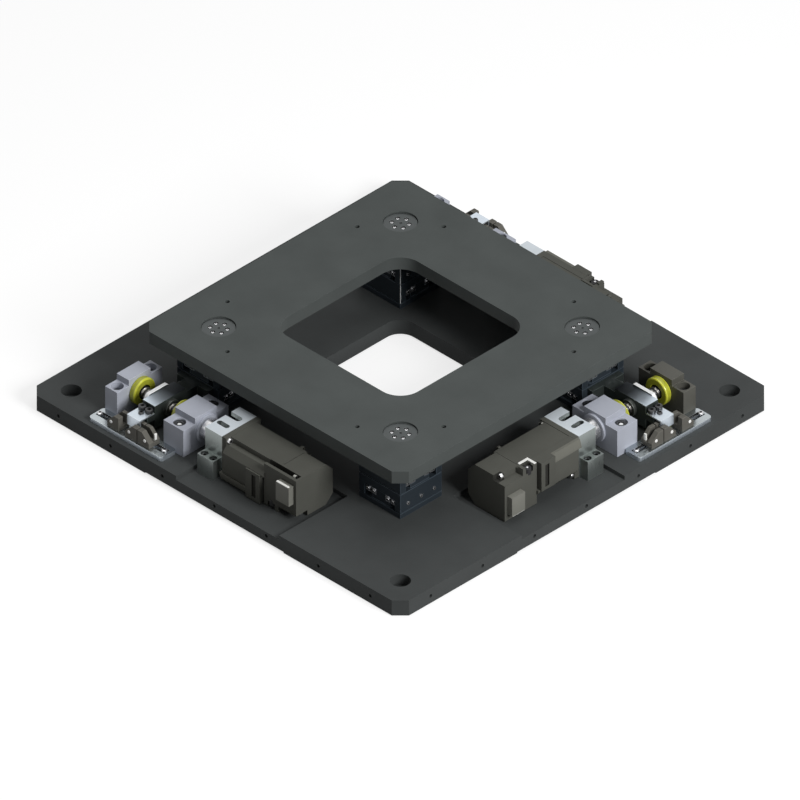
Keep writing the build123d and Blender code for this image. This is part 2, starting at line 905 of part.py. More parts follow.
# Motor: flange, stator with four tie channels, end cap and two connectors
motor_half = motor_side / 2
with BuildPart() as motor:
    with BuildSketch(across(motor_front - pilot_height)):
        Circle(pilot_radius)
    extrude(amount=pilot_height)
    with BuildSketch(across(motor_front)):
        Rectangle(motor_side, motor_side)
    extrude(amount=motor_flange)
    with BuildSketch(across(stator_left)):
        Rectangle(stator_side, stator_side)
        with GridLocations(stator_side, stator_side, 2, 2):
            Rectangle(2 * stator_channel, 2 * stator_channel, mode=Mode.SUBTRACT)
    extrude(amount=stator_length)
    with BuildSketch(across(stator_left + stator_length)):
        Rectangle(seam_side, seam_side)
        with GridLocations(stator_side, stator_side, 2, 2):
            Rectangle(2 * stator_channel, 2 * stator_channel, mode=Mode.SUBTRACT)
    extrude(amount=seam_length)
    with BuildSketch(across(motor_cap_left)):
        with BuildLine():
            Polyline(
                (-motor_half, -motor_half + cap_corner),
                (-motor_half + cap_corner, -motor_half),
                (cap_reach, -motor_half),
                (cap_reach, motor_half - cap_shoulder_drop),
                (cap_shoulder_at, motor_half - cap_shoulder_drop),
                (cap_shoulder_at, motor_half),
                (-motor_half + cap_corner, motor_half),
                (-motor_half, motor_half - cap_corner),
                close=True,
            )
        make_face()
    extrude(amount=cap_length)
    with BuildSketch(across(stator_left)):
        with BuildLine():
            Polyline(
                (stator_side / 2 - stator_channel, lead_top),
                (lead_brow, lead_top),
                (lead_reach, lead_slope_end),
                (lead_reach, -power_box_low),
                (stator_side / 2 - stator_channel, -power_box_low),
                close=True,
            )
        make_face()
    extrude(amount=power_box_start)
    with BuildSketch(across(motor_cap_left + plug_start)):
        with Locations((cap_reach, -plug_low)):
            Rectangle(plug_reach - cap_reach, plug_low + plug_high, align=(Align.MIN, Align.MIN))
    extrude(amount=plug_length)
    with BuildSketch(across(stator_left + power_box_start)):
        with Locations((stator_side / 2, -power_box_low)):
            Rectangle(
                power_box_reach - stator_side / 2,
                power_box_low + motor_half,
                align=(Align.MIN, Align.MIN),
            )
    extrude(amount=power_box_length)
    with BuildSketch(across(stator_left + receptacle_start)):
        with Locations((receptacle_inner, motor_half)):
            Rectangle(cap_reach - receptacle_inner, 2 * motor_half, align=(Align.MIN, Align.MAX))
    extrude(amount=receptacle_length)
    with BuildSketch(Plane.XY.offset(axis_height + motor_half)):
        receptacle_middle = stator_left + receptacle_start + receptacle_length / 2
        with Locations((receptacle_middle, screw_line + (receptacle_inner + cap_reach) / 2)):
            Circle(receptacle_bore_radius)
    extrude(amount=-receptacle_bore_depth, mode=Mode.SUBTRACT)
    with BuildSketch(across(motor_front - pilot_height)):
        Circle(shaft_radius + shaft_room)
    extrude(amount=pilot_height + shaft_depth + shaft_gap, mode=Mode.SUBTRACT)

# The motor at corner a is the same one, turned half round about its shaft's line
flipped_motor = motor.part.rotate(Axis((0, 0, axis_height), (1, 0, 0)), 180)

os.makedirs("parts", exist_ok=True)

write("base_plate", base_plate.part)
write("guide_bases", gathered(on_lower(foot.part), corners))
write("lower_rails", gathered(lower_inner_rails, corners))
write("motor_mounts", gathered(motor_mount.part, drives))
write("fixed_blocks", gathered(fixed_block.part, drives))
write("sensor_plates", gathered(sensor_plate.part, drives))
write("photo_sensors", gathered(photo_sensors.part, drives))
write("stopper_rings", gathered(stoppers.part, drives))
write("screw_bearings", gathered(screw_bearings.part, drives))
write("block_screws", block_screws.part)
write("motor_a", flipped_motor)
write("motor_b", carried(motor.part, "b"))
write("motor_c", motor.part)

for drive in drives:
    write(f"support_block_{drive}", carried(support_block, drive))
    write(f"ball_screw_{drive}", carried(ball_screw, drive))
    write(f"coupling_{drive}", carried(coupling_set.part, drive))
    write(f"ball_nut_{drive}", carried(ball_nut.part, drive))
    write(f"nut_bracket_{drive}", carried(nut_bracket.part, drive))
    write(f"sensor_dog_{drive}", carried(sensor_dog.part, drive))

# Rails that move with a carriage: outer rails of its lower guide, inner rails of its upper
with BuildPart() as carriage_rails:
    add(lower_outer_rails)
    add(upper_inner_rails)

for corner in corners:
    write(f"carriage_{corner}", carried(on_lower(carriage.part), corner))
    write(f"carriage_rails_{corner}", carried(carriage_rails.part, corner))
    write(f"saddle_{corner}", carried(on_upper(saddle.part), corner))
    write(f"saddle_rails_{corner}", carried(upper_outer_rails, corner))
    write(f"pivot_cap_{corner}", carried(pivot_cap.part, corner))
    write(f"upper_cages_{corner}", carried(upper_cages, corner))

write("lower_cages_a", carried(lower_cages, "a"))
write("lower_cages_b", gathered(lower_cages, "bd"))
write("lower_cages_c", carried(lower_cages, "c"))
write("bearing_rings", gathered(bearing_ring.part, corners))
write("top_plate", top_plate.part)
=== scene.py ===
import json
import logging
from contextlib import contextmanager
from dataclasses import dataclass, field
from enum import Enum
from math import cos, pi, radians, sin
from typing import Iterator, Sequence

import bpy
from mathutils import Matrix, Vector


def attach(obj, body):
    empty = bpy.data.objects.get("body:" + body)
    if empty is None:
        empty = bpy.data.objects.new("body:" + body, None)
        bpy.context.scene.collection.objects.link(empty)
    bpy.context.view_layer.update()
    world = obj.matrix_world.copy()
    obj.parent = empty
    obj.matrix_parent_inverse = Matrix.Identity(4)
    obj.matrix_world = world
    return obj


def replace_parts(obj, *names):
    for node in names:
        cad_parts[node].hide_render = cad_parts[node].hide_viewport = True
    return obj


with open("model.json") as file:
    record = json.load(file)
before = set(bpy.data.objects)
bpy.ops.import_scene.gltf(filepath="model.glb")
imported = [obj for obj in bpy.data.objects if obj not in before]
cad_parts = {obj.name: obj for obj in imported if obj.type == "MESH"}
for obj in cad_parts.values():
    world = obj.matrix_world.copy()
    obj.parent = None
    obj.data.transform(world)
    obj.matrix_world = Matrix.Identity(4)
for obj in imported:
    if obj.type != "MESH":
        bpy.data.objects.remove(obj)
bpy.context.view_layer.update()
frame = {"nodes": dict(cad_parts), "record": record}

Piece, Material = bpy.types.Object, bpy.types.Material
Tree, Node, Socket = bpy.types.NodeTree, bpy.types.Node, bpy.types.NodeSocket
Colour = tuple[float, float, float]
Pair = tuple[float, float]
Point = tuple[float, float, float]
Span = tuple[Point, Point]  # a box's lowest and highest corner, in millimetres

LOG = logging.getLogger("alignment_stage")
MM = 0.001
WELD = 2e-6  # closer vertices than this, in metres, are one
FLAT = radians(1.0)  # faces that meet at less than this are one
CREASE = radians(35.0)  # edges sharper than this are broken
FACING = 0.99  # a face looks up if its normal's Z is above this
AXIS_LINE = 166.0  # distance of the screws' lines from the stage's middle, in millimetres
AXIS_LEVEL = 32.0
FAR = 220.0  # reach beyond the stage's sides
UP: Point = (0.0, 0.0, 1.0)
OUT: Point = (0.0, 1.0, 0.0)
ALONG: Point = (1.0, 0.0, 0.0)
BACKWARDS: Point = (-1.0, 0.0, 0.0)
# Widths of broken edges, in metres
HAIR, THIN, FINE, COMMON = 0.00015, 0.0002, 0.0003, 0.0004
FIRM, WIDE, BROAD = 0.0005, 0.0006, 0.0007

RECORD = frame["record"]
NODES: dict[str, Piece] = frame["nodes"]
BODY_OF: dict[str, str] = {
    node: body for body, members in RECORD["behaviour"]["bodies"].items() for node in members
}
SLOT_OF: dict[str, str] = {part["node"]: part["material_slot"] for part in RECORD["subparts"]}


# Finishes
def feed(node: Node, inputs: dict[str | int, object]) -> Node:
    """Feeds a shader node.

    Args:
        node: The node.
        inputs: What each input gets, by its name or number: a socket to link or a constant.

    Returns:
        The node.
    """
    for name, value in inputs.items():
        if isinstance(value, Socket):
            node.id_data.links.new(value, node.inputs[name])
        else:
            node.inputs[name].default_value = value
    return node


def add_node(tree: Tree, kind: str, inputs: dict[str | int, object], operation: str = "") -> Node:
    """Adds a shader node and feeds it.

    Args:
        tree: The node tree to add it to.
        kind: Kind of node.
        inputs: What its inputs get.
        operation: Operation of a math node.

    Returns:
        The node.
    """
    node = tree.nodes.new(f"ShaderNode{kind}")
    if operation:
        node.operation = operation
    return feed(node, inputs)


class Pattern(Enum):
    """How a finish varies over its surface: the stretch of its grain along X, Y and Z."""

    EVEN = (1.0, 1.0, 1.0)
    GROUND_X = (0.06, 1.0, 1.0)
    GROUND_Y = (1.0, 0.06, 1.0)
    GROUND_Z = (1.0, 1.0, 0.06)


@dataclass(frozen=True)
class Finish:
    """One surface finish, with the grain and the mottling that the real one shows, and on some a
    painted reflection.

    Attributes:
        name: Name of the material.
        colour: Linear base colour.
        mottle: Share by which broad patches go darker and lighter.
        patch_scale: Patches per metre.
        metallic: Metal share of the shader.
        roughness: Middle roughness.
        roughness_spread: Roughness change from grain to grain.
        specular: Specular level of the shader.
        grain_scale: Grains per metre.
        grain_depth: Depth of the grain in metres.
        pattern: Direction of the grain.
        edge_gain: Gain of the colour on the broken edges, for wear and as a painted highlight.
        painted_reflection_gain: Gain of the colour where the surface lies further in than `fade`, a
            painted reflection of the dark top plate.
        fade: Distances from the stage's middle, in metres, between which that gain fades out.
    """

    name: str
    colour: Colour
    mottle: float = 0.08
    patch_scale: float = 25.0
    metallic: float = 0.0
    roughness: float = 0.45
    roughness_spread: float = 0.08
    specular: float = 0.5
    grain_scale: float = 1500.0
    grain_depth: float = 0.00002
    pattern: Pattern = Pattern.EVEN
    edge_gain: float = 1.25
    painted_reflection_gain: float = 1.0
    fade: Pair = (0.160, 0.181)

    def material(self, wear_and_highlight: bool = False) -> Material:
        """Gives the finish's material, made once.

        Args:
            wear_and_highlight: Whether it is the one of the broken edges, which handling wears
                bright and which also carries a painted highlight.

        Returns:
            The material.
        """
        # The edge material is the colour raised by edge_gain: wear and a painted highlight in one.
        name, gain = (f"{self.name}_edge", self.edge_gain) if wear_and_highlight else (self.name, 1.0)
        found = bpy.data.materials.get(name)
        if found:
            return found
        material = bpy.data.materials.new(name)
        material.use_nodes = True
        tree = material.node_tree
        place = add_node(tree, "TexCoord", {}).outputs["Object"]
        stretch = add_node(tree, "Mapping", {"Vector": place, "Scale": self.pattern.value})
        patches = add_node(
            tree, "TexNoise", {"Vector": place, "Scale": self.patch_scale, "Detail": 5.0},
        ).outputs["Fac"]
        grain = add_node(
            tree, "TexNoise",
            {"Vector": stretch.outputs["Vector"], "Scale": self.grain_scale, "Detail": 3.0},
        ).outputs["Fac"]
        colours = add_node(tree, "ValToRGB", {"Fac": patches})
        for element, position, share in zip(
            colours.color_ramp.elements, (0.3, 0.7), (1 - self.mottle, 1 + self.mottle)
        ):
            element.position = position
            element.color = (*(min(1.0, c * gain * share) for c in self.colour), 1)
        roughness = add_node(tree, "MapRange", {
            "Value": grain,
            "To Min": max(0.02, self.roughness - self.roughness_spread),
            "To Max": min(1.0, self.roughness + self.roughness_spread),
        })
        bump = add_node(tree, "Bump", {
            "Strength": 0.35, "Distance": self.grain_depth, "Height": grain,
        })
        feed(tree.nodes["Principled BSDF"], {
            "Base Color": self._with_painted_reflection(tree, place, colours.outputs["Color"]),
            "Metallic": self.metallic,
            "Roughness": roughness.outputs["Result"],
            "Specular IOR Level": self.specular,
            "Normal": bump.outputs["Normal"],
        })
        return material

    def _with_painted_reflection(self, tree: Tree, place: Socket, colour: Socket) -> Socket:
        """Darkens a colour towards the stage's middle, a painted reflection of the dark top plate
        as a mirror there would show it.

        Args:
            tree: The material's node tree.
            place: The socket with the surface's place.
            colour: The socket with the colour.

        Returns:
            The socket with the faded colour, or the colour's own for a finish without a fade.
        """
        if self.painted_reflection_gain == 1.0:
            return colour
        parts = add_node(tree, "SeparateXYZ", {"Vector": place}).outputs
        sizes = [add_node(tree, "Math", {0: parts[axis]}, "ABSOLUTE").outputs[0] for axis in "XY"]
        outwards = add_node(tree, "Math", {0: sizes[0], 1: sizes[1]}, "MAXIMUM").outputs[0]
        # Painted reflection: the colour darkens towards the middle, where the top plate would be
        # mirrored.
        gain = add_node(tree, "MapRange", {
            "Value": outwards, "From Min": self.fade[0], "From Max": self.fade[1],
            "To Min": self.painted_reflection_gain, "To Max": 1.0,
        })
        scaling = {"Vector": colour, "Scale": gain.outputs["Result"]}
        return add_node(tree, "VectorMath", scaling, "SCALE").outputs["Vector"]


BASE_ANODISED = Finish("base_anodised", (0.056, 0.060, 0.060), specular=0.05, roughness=0.5)
TOP_ANODISED = Finish("top_anodised", (0.075, 0.083, 0.081), specular=0.05, roughness=0.52)
MODULE_STEEL = Finish(
    "module_steel", (0.022, 0.029, 0.036), specular=0.25, roughness=0.36, edge_gain=2.2
)
GROUND_RAIL = Finish(
    "ground_rail", (0.42, 0.43, 0.45), metallic=0.85, roughness=0.3, pattern=Pattern.GROUND_X
)
MOTOR_PAINT = Finish(
    "motor_paint", (0.080, 0.081, 0.071), specular=0.08, roughness=0.55, grain_scale=900.0,
    grain_depth=0.00006, edge_gain=1.6,
)
# Painted light: a lighter copy of the motor paint for the slope that faces the lamps.
MOTOR_SLOPE_PAINTED_LIGHT = Finish(
    "motor_cover", (0.130, 0.130, 0.112), specular=0.12, roughness=0.5, grain_scale=900.0
)
MOTOR_SHADE = Finish("motor_shade", (0.026, 0.026, 0.023), specular=0.1, roughness=0.7)
PLUG_CASE = Finish("plug_case", (0.17, 0.17, 0.15), specular=0.2, roughness=0.5, grain_scale=900.0)
CLEAR_ANODISED = Finish(
    "clear_anodised", (0.72, 0.75, 0.77), metallic=1.0, roughness=0.24, roughness_spread=0.06,
    pattern=Pattern.GROUND_Y, edge_gain=1.2,
)
# The mounts' roofs and sides are a light and a dark copy of one metal: a painted reflection of the
# bright sky on the roofs, painted shade on the sides.
MOUNT_ROOF_PAINTED_REFLECTION = Finish(
    "mount_top", (0.60, 0.65, 0.69), metallic=0.15, roughness=0.38, specular=0.4,
    pattern=Pattern.GROUND_Y, edge_gain=1.35,
)
MOUNT_SIDE = Finish(
    "mount_side", (0.31, 0.34, 0.33), metallic=0.85, roughness=0.3, pattern=Pattern.GROUND_Z,
    edge_gain=1.5,
)
# The brackets' sides take this dark metal; their roofs take a far lighter copy of it, a painted
# reflection of the bright sky.
BRACKET_SIDE = Finish(
    "bracket_side", (0.060, 0.072, 0.068), metallic=0.6, roughness=0.35, edge_gain=2.2
)
NUT_STEEL = Finish("nut_steel", (0.055, 0.060, 0.055), metallic=0.5, roughness=0.35, edge_gain=2.0)
SCREW_STEEL = Finish("screw_steel", (0.34, 0.33, 0.30), metallic=0.9, roughness=0.3)
# Painted highlight: a near-white finish for spots that stand in for glints.
GLINT = Finish("glint", (0.85, 0.86, 0.86), roughness=0.25)
BLOCK_PLATING = Finish(
    "block_plating", (0.40, 0.42, 0.48), roughness=0.42, specular=0.2, grain_scale=700.0,
    grain_depth=0.00005, edge_gain=1.35,
)
BRONZE_BLOCK = Finish(
    "bronze_block", (0.080, 0.079, 0.068), roughness=0.42, specular=0.2, grain_scale=700.0,
    grain_depth=0.00005, edge_gain=1.8,
)
PLATED_SHEET = Finish(
    "plated_sheet", (0.54, 0.58, 0.61), metallic=1.0, roughness=0.22, roughness_spread=0.06,
    pattern=Pattern.GROUND_X, edge_gain=1.4,
)
# The sensor plates' top and sides are a darker and a lighter copy of one plated sheet: painted
# shade on the top, painted light on the sides.
SENSOR_PLATE = Finish(
    "sensor_plate", (0.48, 0.52, 0.54), metallic=1.0, roughness=0.24, roughness_spread=0.06,
    edge_gain=1.4,
)
# Painted reflection: a far lighter copy of the brackets' metal for their roofs, darkened towards
# the middle as a painted reflection of the top plate.
BRACKET_ROOF_PAINTED_REFLECTION = Finish(
    "bracket_steel", (0.68, 0.76, 0.84), metallic=1.0, roughness=0.32, roughness_spread=0.05,
    pattern=Pattern.GROUND_Y, edge_gain=1.2, painted_reflection_gain=0.16,
)
THREAD_SHADE = Finish("thread_shade", (0.30, 0.29, 0.27), metallic=0.9, roughness=0.3)
LAMP_LENS = Finish("lamp_lens", (0.80, 0.80, 0.78), specular=0.8, roughness=0.15)
SENSOR_CASE = Finish(
    "sensor_case", (0.100, 0.096, 0.084), specular=0.2, roughness=0.6, grain_scale=1200.0
)
URETHANE = Finish(
    "urethane", (0.34, 0.35, 0.030), specular=0.6, roughness=0.2, mottle=0.25, patch_scale=90.0,
    edge_gain=1.6,
)
BLACK_OXIDE = Finish(
    "black_oxide", (0.018, 0.019, 0.021), specular=0.6, roughness=0.3, edge_gain=3.0
)
BRIGHT_STEEL = Finish("bright_steel", (0.62, 0.62, 0.63), metallic=0.9, roughness=0.25)
# Painted shade: a darker copy of the screw steel for heads that lie in shade.
SCREW_PAINTED_SHADE = Finish("screw_painted_shade", (0.24, 0.24, 0.22), metallic=0.9, roughness=0.28)
CAP_STEEL = Finish("cap_steel", (0.088, 0.094, 0.094), specular=0.2, roughness=0.42, edge_gain=1.6)
CAGE_BRASS = Finish("cage_brass", (0.45, 0.33, 0.13), metallic=0.8, roughness=0.35)
# Painted shade: near black for the walls of sockets, holes, bores and sunk beds, where shade falls.
PAINTED_RECESS_SHADE = Finish("painted_recess_shade", (0.012, 0.012, 0.013), specular=0.3, roughness=0.6)
CONNECTOR_WHITE = Finish("connector_white", (0.78, 0.78, 0.75), specular=0.4, roughness=0.5)

SLOT_FINISH: dict[str, Finish] = {
    "base_black": BASE_ANODISED, "plate_black": TOP_ANODISED, "guide_steel": MODULE_STEEL,
    "rail_steel": GROUND_RAIL, "motor_brown": MOTOR_PAINT, "bright_aluminium": CLEAR_ANODISED,
    "block_steel": BLOCK_PLATING, "block_dark": BRONZE_BLOCK, "plated_sheet": PLATED_SHEET,
    "sensor_plastic": SENSOR_CASE, "stopper_yellow": URETHANE, "screw_steel": BLACK_OXIDE,
    "cap_steel": CAP_STEEL, "cage_brass": CAGE_BRASS,
}


# Corners and drives
class Corner(Enum):
    """The four corners of the stage; the first three have a drive."""

    LEFT = "a"
    RIGHT = "b"
    BACK = "c"
    FRONT = "d"

    def carry(self) -> Matrix:
        """Carries the back corner to this one.

        Returns:
            The matrix that does so.
        """
        mirror = Matrix.Diagonal((1, -1, 1, 1))
        turn = Matrix.Rotation(-pi / 2, 4, "Z")
        return {
            "a": mirror, "b": turn, "c": Matrix.Identity(4), "d": mirror @ turn,
        }[self.value]

    def carry_motor(self) -> Matrix:
        """Gives the matrix that carries the back motor here; the left one lies flipped."""
        flip = Matrix.Translation((0, 0, 2 * AXIS_LEVEL * MM)) @ Matrix.Rotation(pi, 4, "X")
        return flip if self is Corner.LEFT else self.carry()

    def place(self, point: Point, way: Point = UP) -> Matrix:
        """Carries the place of a small piece from the back corner to this one.

        Args:
            point: Point at the back corner, in millimetres.
            way: Outward direction there.

        Returns:
            A matrix without mirroring, so that a piece stays right side out.
        """
        carry = self.carry()
        outwards = (carry.to_3x3() @ Vector(way)).normalized()
        turn = outwards.to_track_quat("Z", "Y").to_matrix().to_4x4()
        return Matrix.Translation(carry @ (Vector(point) * MM)) @ turn

    def named(self, label: str) -> str:
        """Gives the name of this corner's node or piece of a kind."""
        return f"{label}_{self.value}"

    def carriage_body(self) -> str:
        """Names the body of the lower carriage; the front one travels with the right one."""
        return (Corner.RIGHT if self is Corner.FRONT else self).named("carriage")


DRIVEN = (Corner.LEFT, Corner.RIGHT, Corner.BACK)


def at_drives(points: Sequence[Point], way: Point = UP) -> list[Matrix]:
    """Carries places from the back corner to each drive in turn."""
    return [corner.place(point, way) for corner in DRIVEN for point in points]


def lowered(places: Sequence[Matrix], depth: float) -> list[Matrix]:
    """Gives the places this many millimetres lower down."""
    return [Matrix.Translation((0, 0, -depth * MM)) @ place for place in places]


# Workbench
def only(*pieces: Piece) -> None:
    """Selects these pieces and nothing else.

    Args:
        pieces: The pieces, the first of which becomes active.
    """
    bpy.ops.object.select_all(action="DESELECT")
    for piece in pieces:
        piece.select_set(True)
    bpy.context.view_layer.objects.active = pieces[0]


@contextmanager
def editing(piece: Piece) -> Iterator[None]:
    """Opens a piece in edit mode and closes it again.

    Args:
        piece: The piece to edit.

    Yields:
        Nothing, while the piece is open.
    """
    only(piece)
    bpy.ops.object.mode_set(mode="EDIT")
    try:
        yield
    finally:
        bpy.ops.object.mode_set(mode="OBJECT")


def pick_top(piece: Piece) -> None:
    """Selects the faces that look up, of a piece in edit mode.

    Args:
        piece: The piece.
    """
    bpy.ops.mesh.select_mode(type="FACE")
    bpy.ops.mesh.select_all(action="DESELECT")
    bpy.ops.object.mode_set(mode="OBJECT")
    for face in piece.data.polygons:
        face.select = face.normal.z > FACING
    bpy.ops.object.mode_set(mode="EDIT")


def modify(piece: Piece, kind: str, **settings: object) -> None:
    """Adds a modifier to a piece and applies it.

    Args:
        piece: The piece to change.
        kind: Kind of modifier.
        settings: Settings of the modifier by name.
    """
    modifier = piece.modifiers.new(kind.lower(), kind)
    for name, value in settings.items():
        setattr(modifier, name, value)
    only(piece)
    bpy.ops.object.modifier_apply(modifier=modifier.name)


def settle(piece: Piece) -> None:
    """Puts a piece's place and turn into its mesh."""
    only(piece)
    bpy.ops.object.transform_apply(location=True, rotation=True, scale=True)


def smooth(piece: Piece) -> None:
    """Shades a piece smooth across its small bevels and leaves its flats flat.

    Args:
        piece: The piece to shade.
    """
    only(piece)
    bpy.ops.object.shade_smooth_by_angle(angle=CREASE)
    modify(piece, "WEIGHTED_NORMAL", keep_sharp=True)


def paint(piece: Piece, *materials: Material) -> None:
    """Gives a piece these materials and no others.

    Args:
        piece: The piece to change.
        materials: The materials in the order of its slots.
    """
    piece.data.materials.clear()
    for material in materials:
        piece.data.materials.append(material)


def bevelled(piece: Piece, finish: Finish, width: float, segments: int = 2) -> None:
    """Breaks the sharp edges of a piece, paints it and smooths it; cuts keep a finish of their own.

    Args:
        piece: The piece to finish.
        finish: Its finish; the broken edges get its edge material, lighter for wear and as a
            painted highlight.
        width: Width of the broken edge in metres.
        segments: Faces across it.
    """
    if len(piece.data.materials) < 2:
        paint(piece, finish.material())
    piece.data.materials.append(finish.material(wear_and_highlight=True))
    modify(
        piece, "BEVEL", width=width, segments=segments, limit_method="ANGLE", angle_limit=CREASE,
        material=len(piece.data.materials) - 1, miter_outer="MITER_ARC",
    )
    smooth(piece)


def joined(pieces: Sequence[Piece], name: str) -> Piece:
    """Joins pieces into the first one and names it.

    Args:
        pieces: The pieces to join.
        name: Name of the result.

    Returns:
        The joined piece.
    """
    only(*pieces)
    if len(pieces) > 1:
        bpy.ops.object.join()
    pieces[0].name = name
    pieces[0].data.name = name
    return pieces[0]


def copied(master: Piece, place: Matrix) -> Piece:
    """Copies a piece, with a mesh of its own, to a place.

    Args:
        master: The piece to copy.
        place: Where the copy goes.

    Returns:
        The copy.
    """
    twin = bpy.data.objects.new(master.name, master.data.copy())
    bpy.context.scene.collection.objects.link(twin)
    twin.data.transform(place)
    if place.to_3x3().determinant() < 0:
        with editing(twin):
            bpy.ops.mesh.select_all(action="SELECT")
            bpy.ops.mesh.flip_normals()
    return twin


def spread(
    master: Piece, places: Sequence[Matrix], name: str, body: str
) -> Piece:
    """Copies a small piece to many places on one body, as one named object."""
    return mounted(joined([copied(master, place) for place in places], name), body)


def mounted(piece: Piece, body: str) -> Piece:
    """Makes a finished piece ride on its body and reports it.

    Args:
        piece: The finished piece.
        body: Body that it rides on.

    Returns:
        The piece.
    """
    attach(piece, body)
    LOG.info("%s rides on %s, %d faces", piece.name, body, len(piece.data.polygons))
    return piece


def discard(*pieces: Piece) -> None:
    """Removes pieces that only helped to make others."""
    for piece in pieces:
        bpy.data.objects.remove(piece)


def drawn_from(node: str) -> Piece:
    """Copies a node's mesh and merges it into clean faces.

    Args:
        node: Name of the node.

    Returns:
        A new piece with the node's shape.
    """
    piece = bpy.data.objects.new(f"{node}_finished", NODES[node].data.copy())
    bpy.context.scene.collection.objects.link(piece)
    only(piece)
    bpy.ops.mesh.customdata_custom_splitnormals_clear()
    with editing(piece):
        bpy.ops.mesh.select_all(action="SELECT")
        bpy.ops.mesh.remove_doubles(threshold=WELD)
        bpy.ops.mesh.dissolve_limited(angle_limit=FLAT)
    return piece


def box(span: Span, finish: Finish) -> Piece:
    """Makes a box to cut with or to work on.

    Args:
        span: Where it is.
        finish: Finish of its faces, and of the faces that it cuts.

    Returns:
        The box.
    """
    middle = [(a + b) / 2 * MM for a, b in zip(*span)]
    bpy.ops.mesh.primitive_cube_add(
        size=1.0, location=middle, scale=[(b - a) * MM for a, b in zip(*span)]
    )
    made = bpy.context.object
    paint(made, finish.material())
    settle(made)
    return made


def rod(
    radius: float, length: float, sides: int, finish: Finish, middle: Point = (0, 0, 0)
) -> Piece:
    """Makes an upright rod.

    Args:
        radius: Its radius in millimetres.
        length: Its length.
        sides: Number of its sides.
        finish: Finish of its faces.
        middle: Where its middle is.

    Returns:
        The rod.
    """
    bpy.ops.mesh.primitive_cylinder_add(
        vertices=sides, radius=radius * MM, depth=length * MM, location=Vector(middle) * MM
    )
    made = bpy.context.object
    paint(made, finish.material())
    settle(made)
    return made


def drill(places: Sequence[Matrix], radius: float, depth: float, finish: Finish) -> Piece:
    """Makes round cutters that reach as far above each place as below it.

    Args:
        places: Where the holes start, each looking outwards.
        radius: Radius of the holes in millimetres.
        depth: Their depth.
        finish: Finish of the faces that they cut.

    Returns:
        All cutters as one piece.
    """
    master = rod(radius, 2 * depth, 24, finish)
    cutters = joined([copied(master, place) for place in places], "drill")
    discard(master)
    return cutters


def combine(piece: Piece, operation: str, others: Sequence[Piece]) -> None:
    """Combines other pieces with a piece, one by one, and removes them.

    Args:
        piece: The piece to change.
        operation: Name of the boolean operation.
        others: The other pieces; the faces that come from them keep their finishes.
    """
    for other in others:
        modify(
            piece, "BOOLEAN", object=other, operation=operation, solver="EXACT",
            material_mode="TRANSFER",
        )
        discard(other)


def cut(piece: Piece, *cutters: Piece) -> None:
    """Cuts pieces out of a piece and removes them."""
    combine(piece, "DIFFERENCE", cutters)


def merge(piece: Piece, *others: Piece) -> None:
    """Merges pieces into a piece as one solid and removes them."""
    combine(piece, "UNION", others)


def sloped(span: Span, line: Pair, lean: float, finish: Finish) -> Piece:
    """Makes a box with a slope along X in place of one of its edges.

    Args:
        span: Where the box is.
        line: Y and Z of a line on the slope.
        lean: Angle in degrees by which the slope's outer side looks up from Y.
        finish: Finish of the faces.

    Returns:
        The box.
    """
    made = box(span, finish)
    start, end, reach = span[0][0] - 1.0, span[1][0] + 1.0, 30.0
    cutter = box(((start, 0.0, -reach), (end, reach, reach)), finish)
    turn = Matrix.Rotation(radians(lean), 4, "X")
    cutter.data.transform(Matrix.Translation(Vector((0.0, *line)) * MM) @ turn)
    cut(made, cutter)
    return made


def zone(corner: Corner, span: Span) -> Span:
    """Carries a box from the back corner to another one."""
    ends = [corner.carry() @ Vector(point) for point in span]
    return tuple(map(min, *ends)), tuple(map(max, *ends))


def repaint(piece: Piece, finish: Finish, span: Span) -> None:
    """Gives another finish to the faces whose middles lie in a box.

    Args:
        piece: The piece to change.
        finish: The finish.
        span: Where the box is.
    """
    piece.data.materials.append(finish.material())
    index = len(piece.data.materials) - 1
    for face in piece.data.polygons:
        if all(a * MM <= c <= b * MM for a, c, b in zip(span[0], face.center, span[1])):
            face.material_index = index


def standing_for(piece: Piece, node: str) -> Piece:
    """Mounts a finished piece in a node's place."""
    mounted(piece, BODY_OF[node])
    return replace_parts(piece, node)


def dressed(node: str, width: float, finish: Finish | None = None) -> Piece:
    """Stands a piece with broken edges and its finish in a node's place.

    Args:
        node: Name of the node.
        width: Width of the broken edges in metres.
        finish: Its finish, or the slot's own.

    Returns:
        The piece.
    """
    piece = drawn_from(node)
    bevelled(piece, finish or SLOT_FINISH[SLOT_OF[node]], width)
    return standing_for(piece, node)


# Small screws
class Drive(Enum):
    """Kinds of screw head: the height and the roundness of each, in head radii."""

    SOCKET = (1.05, 0.12)
    BUTTON = (0.62, 0.42)
    SET = (0.35, 0.10)


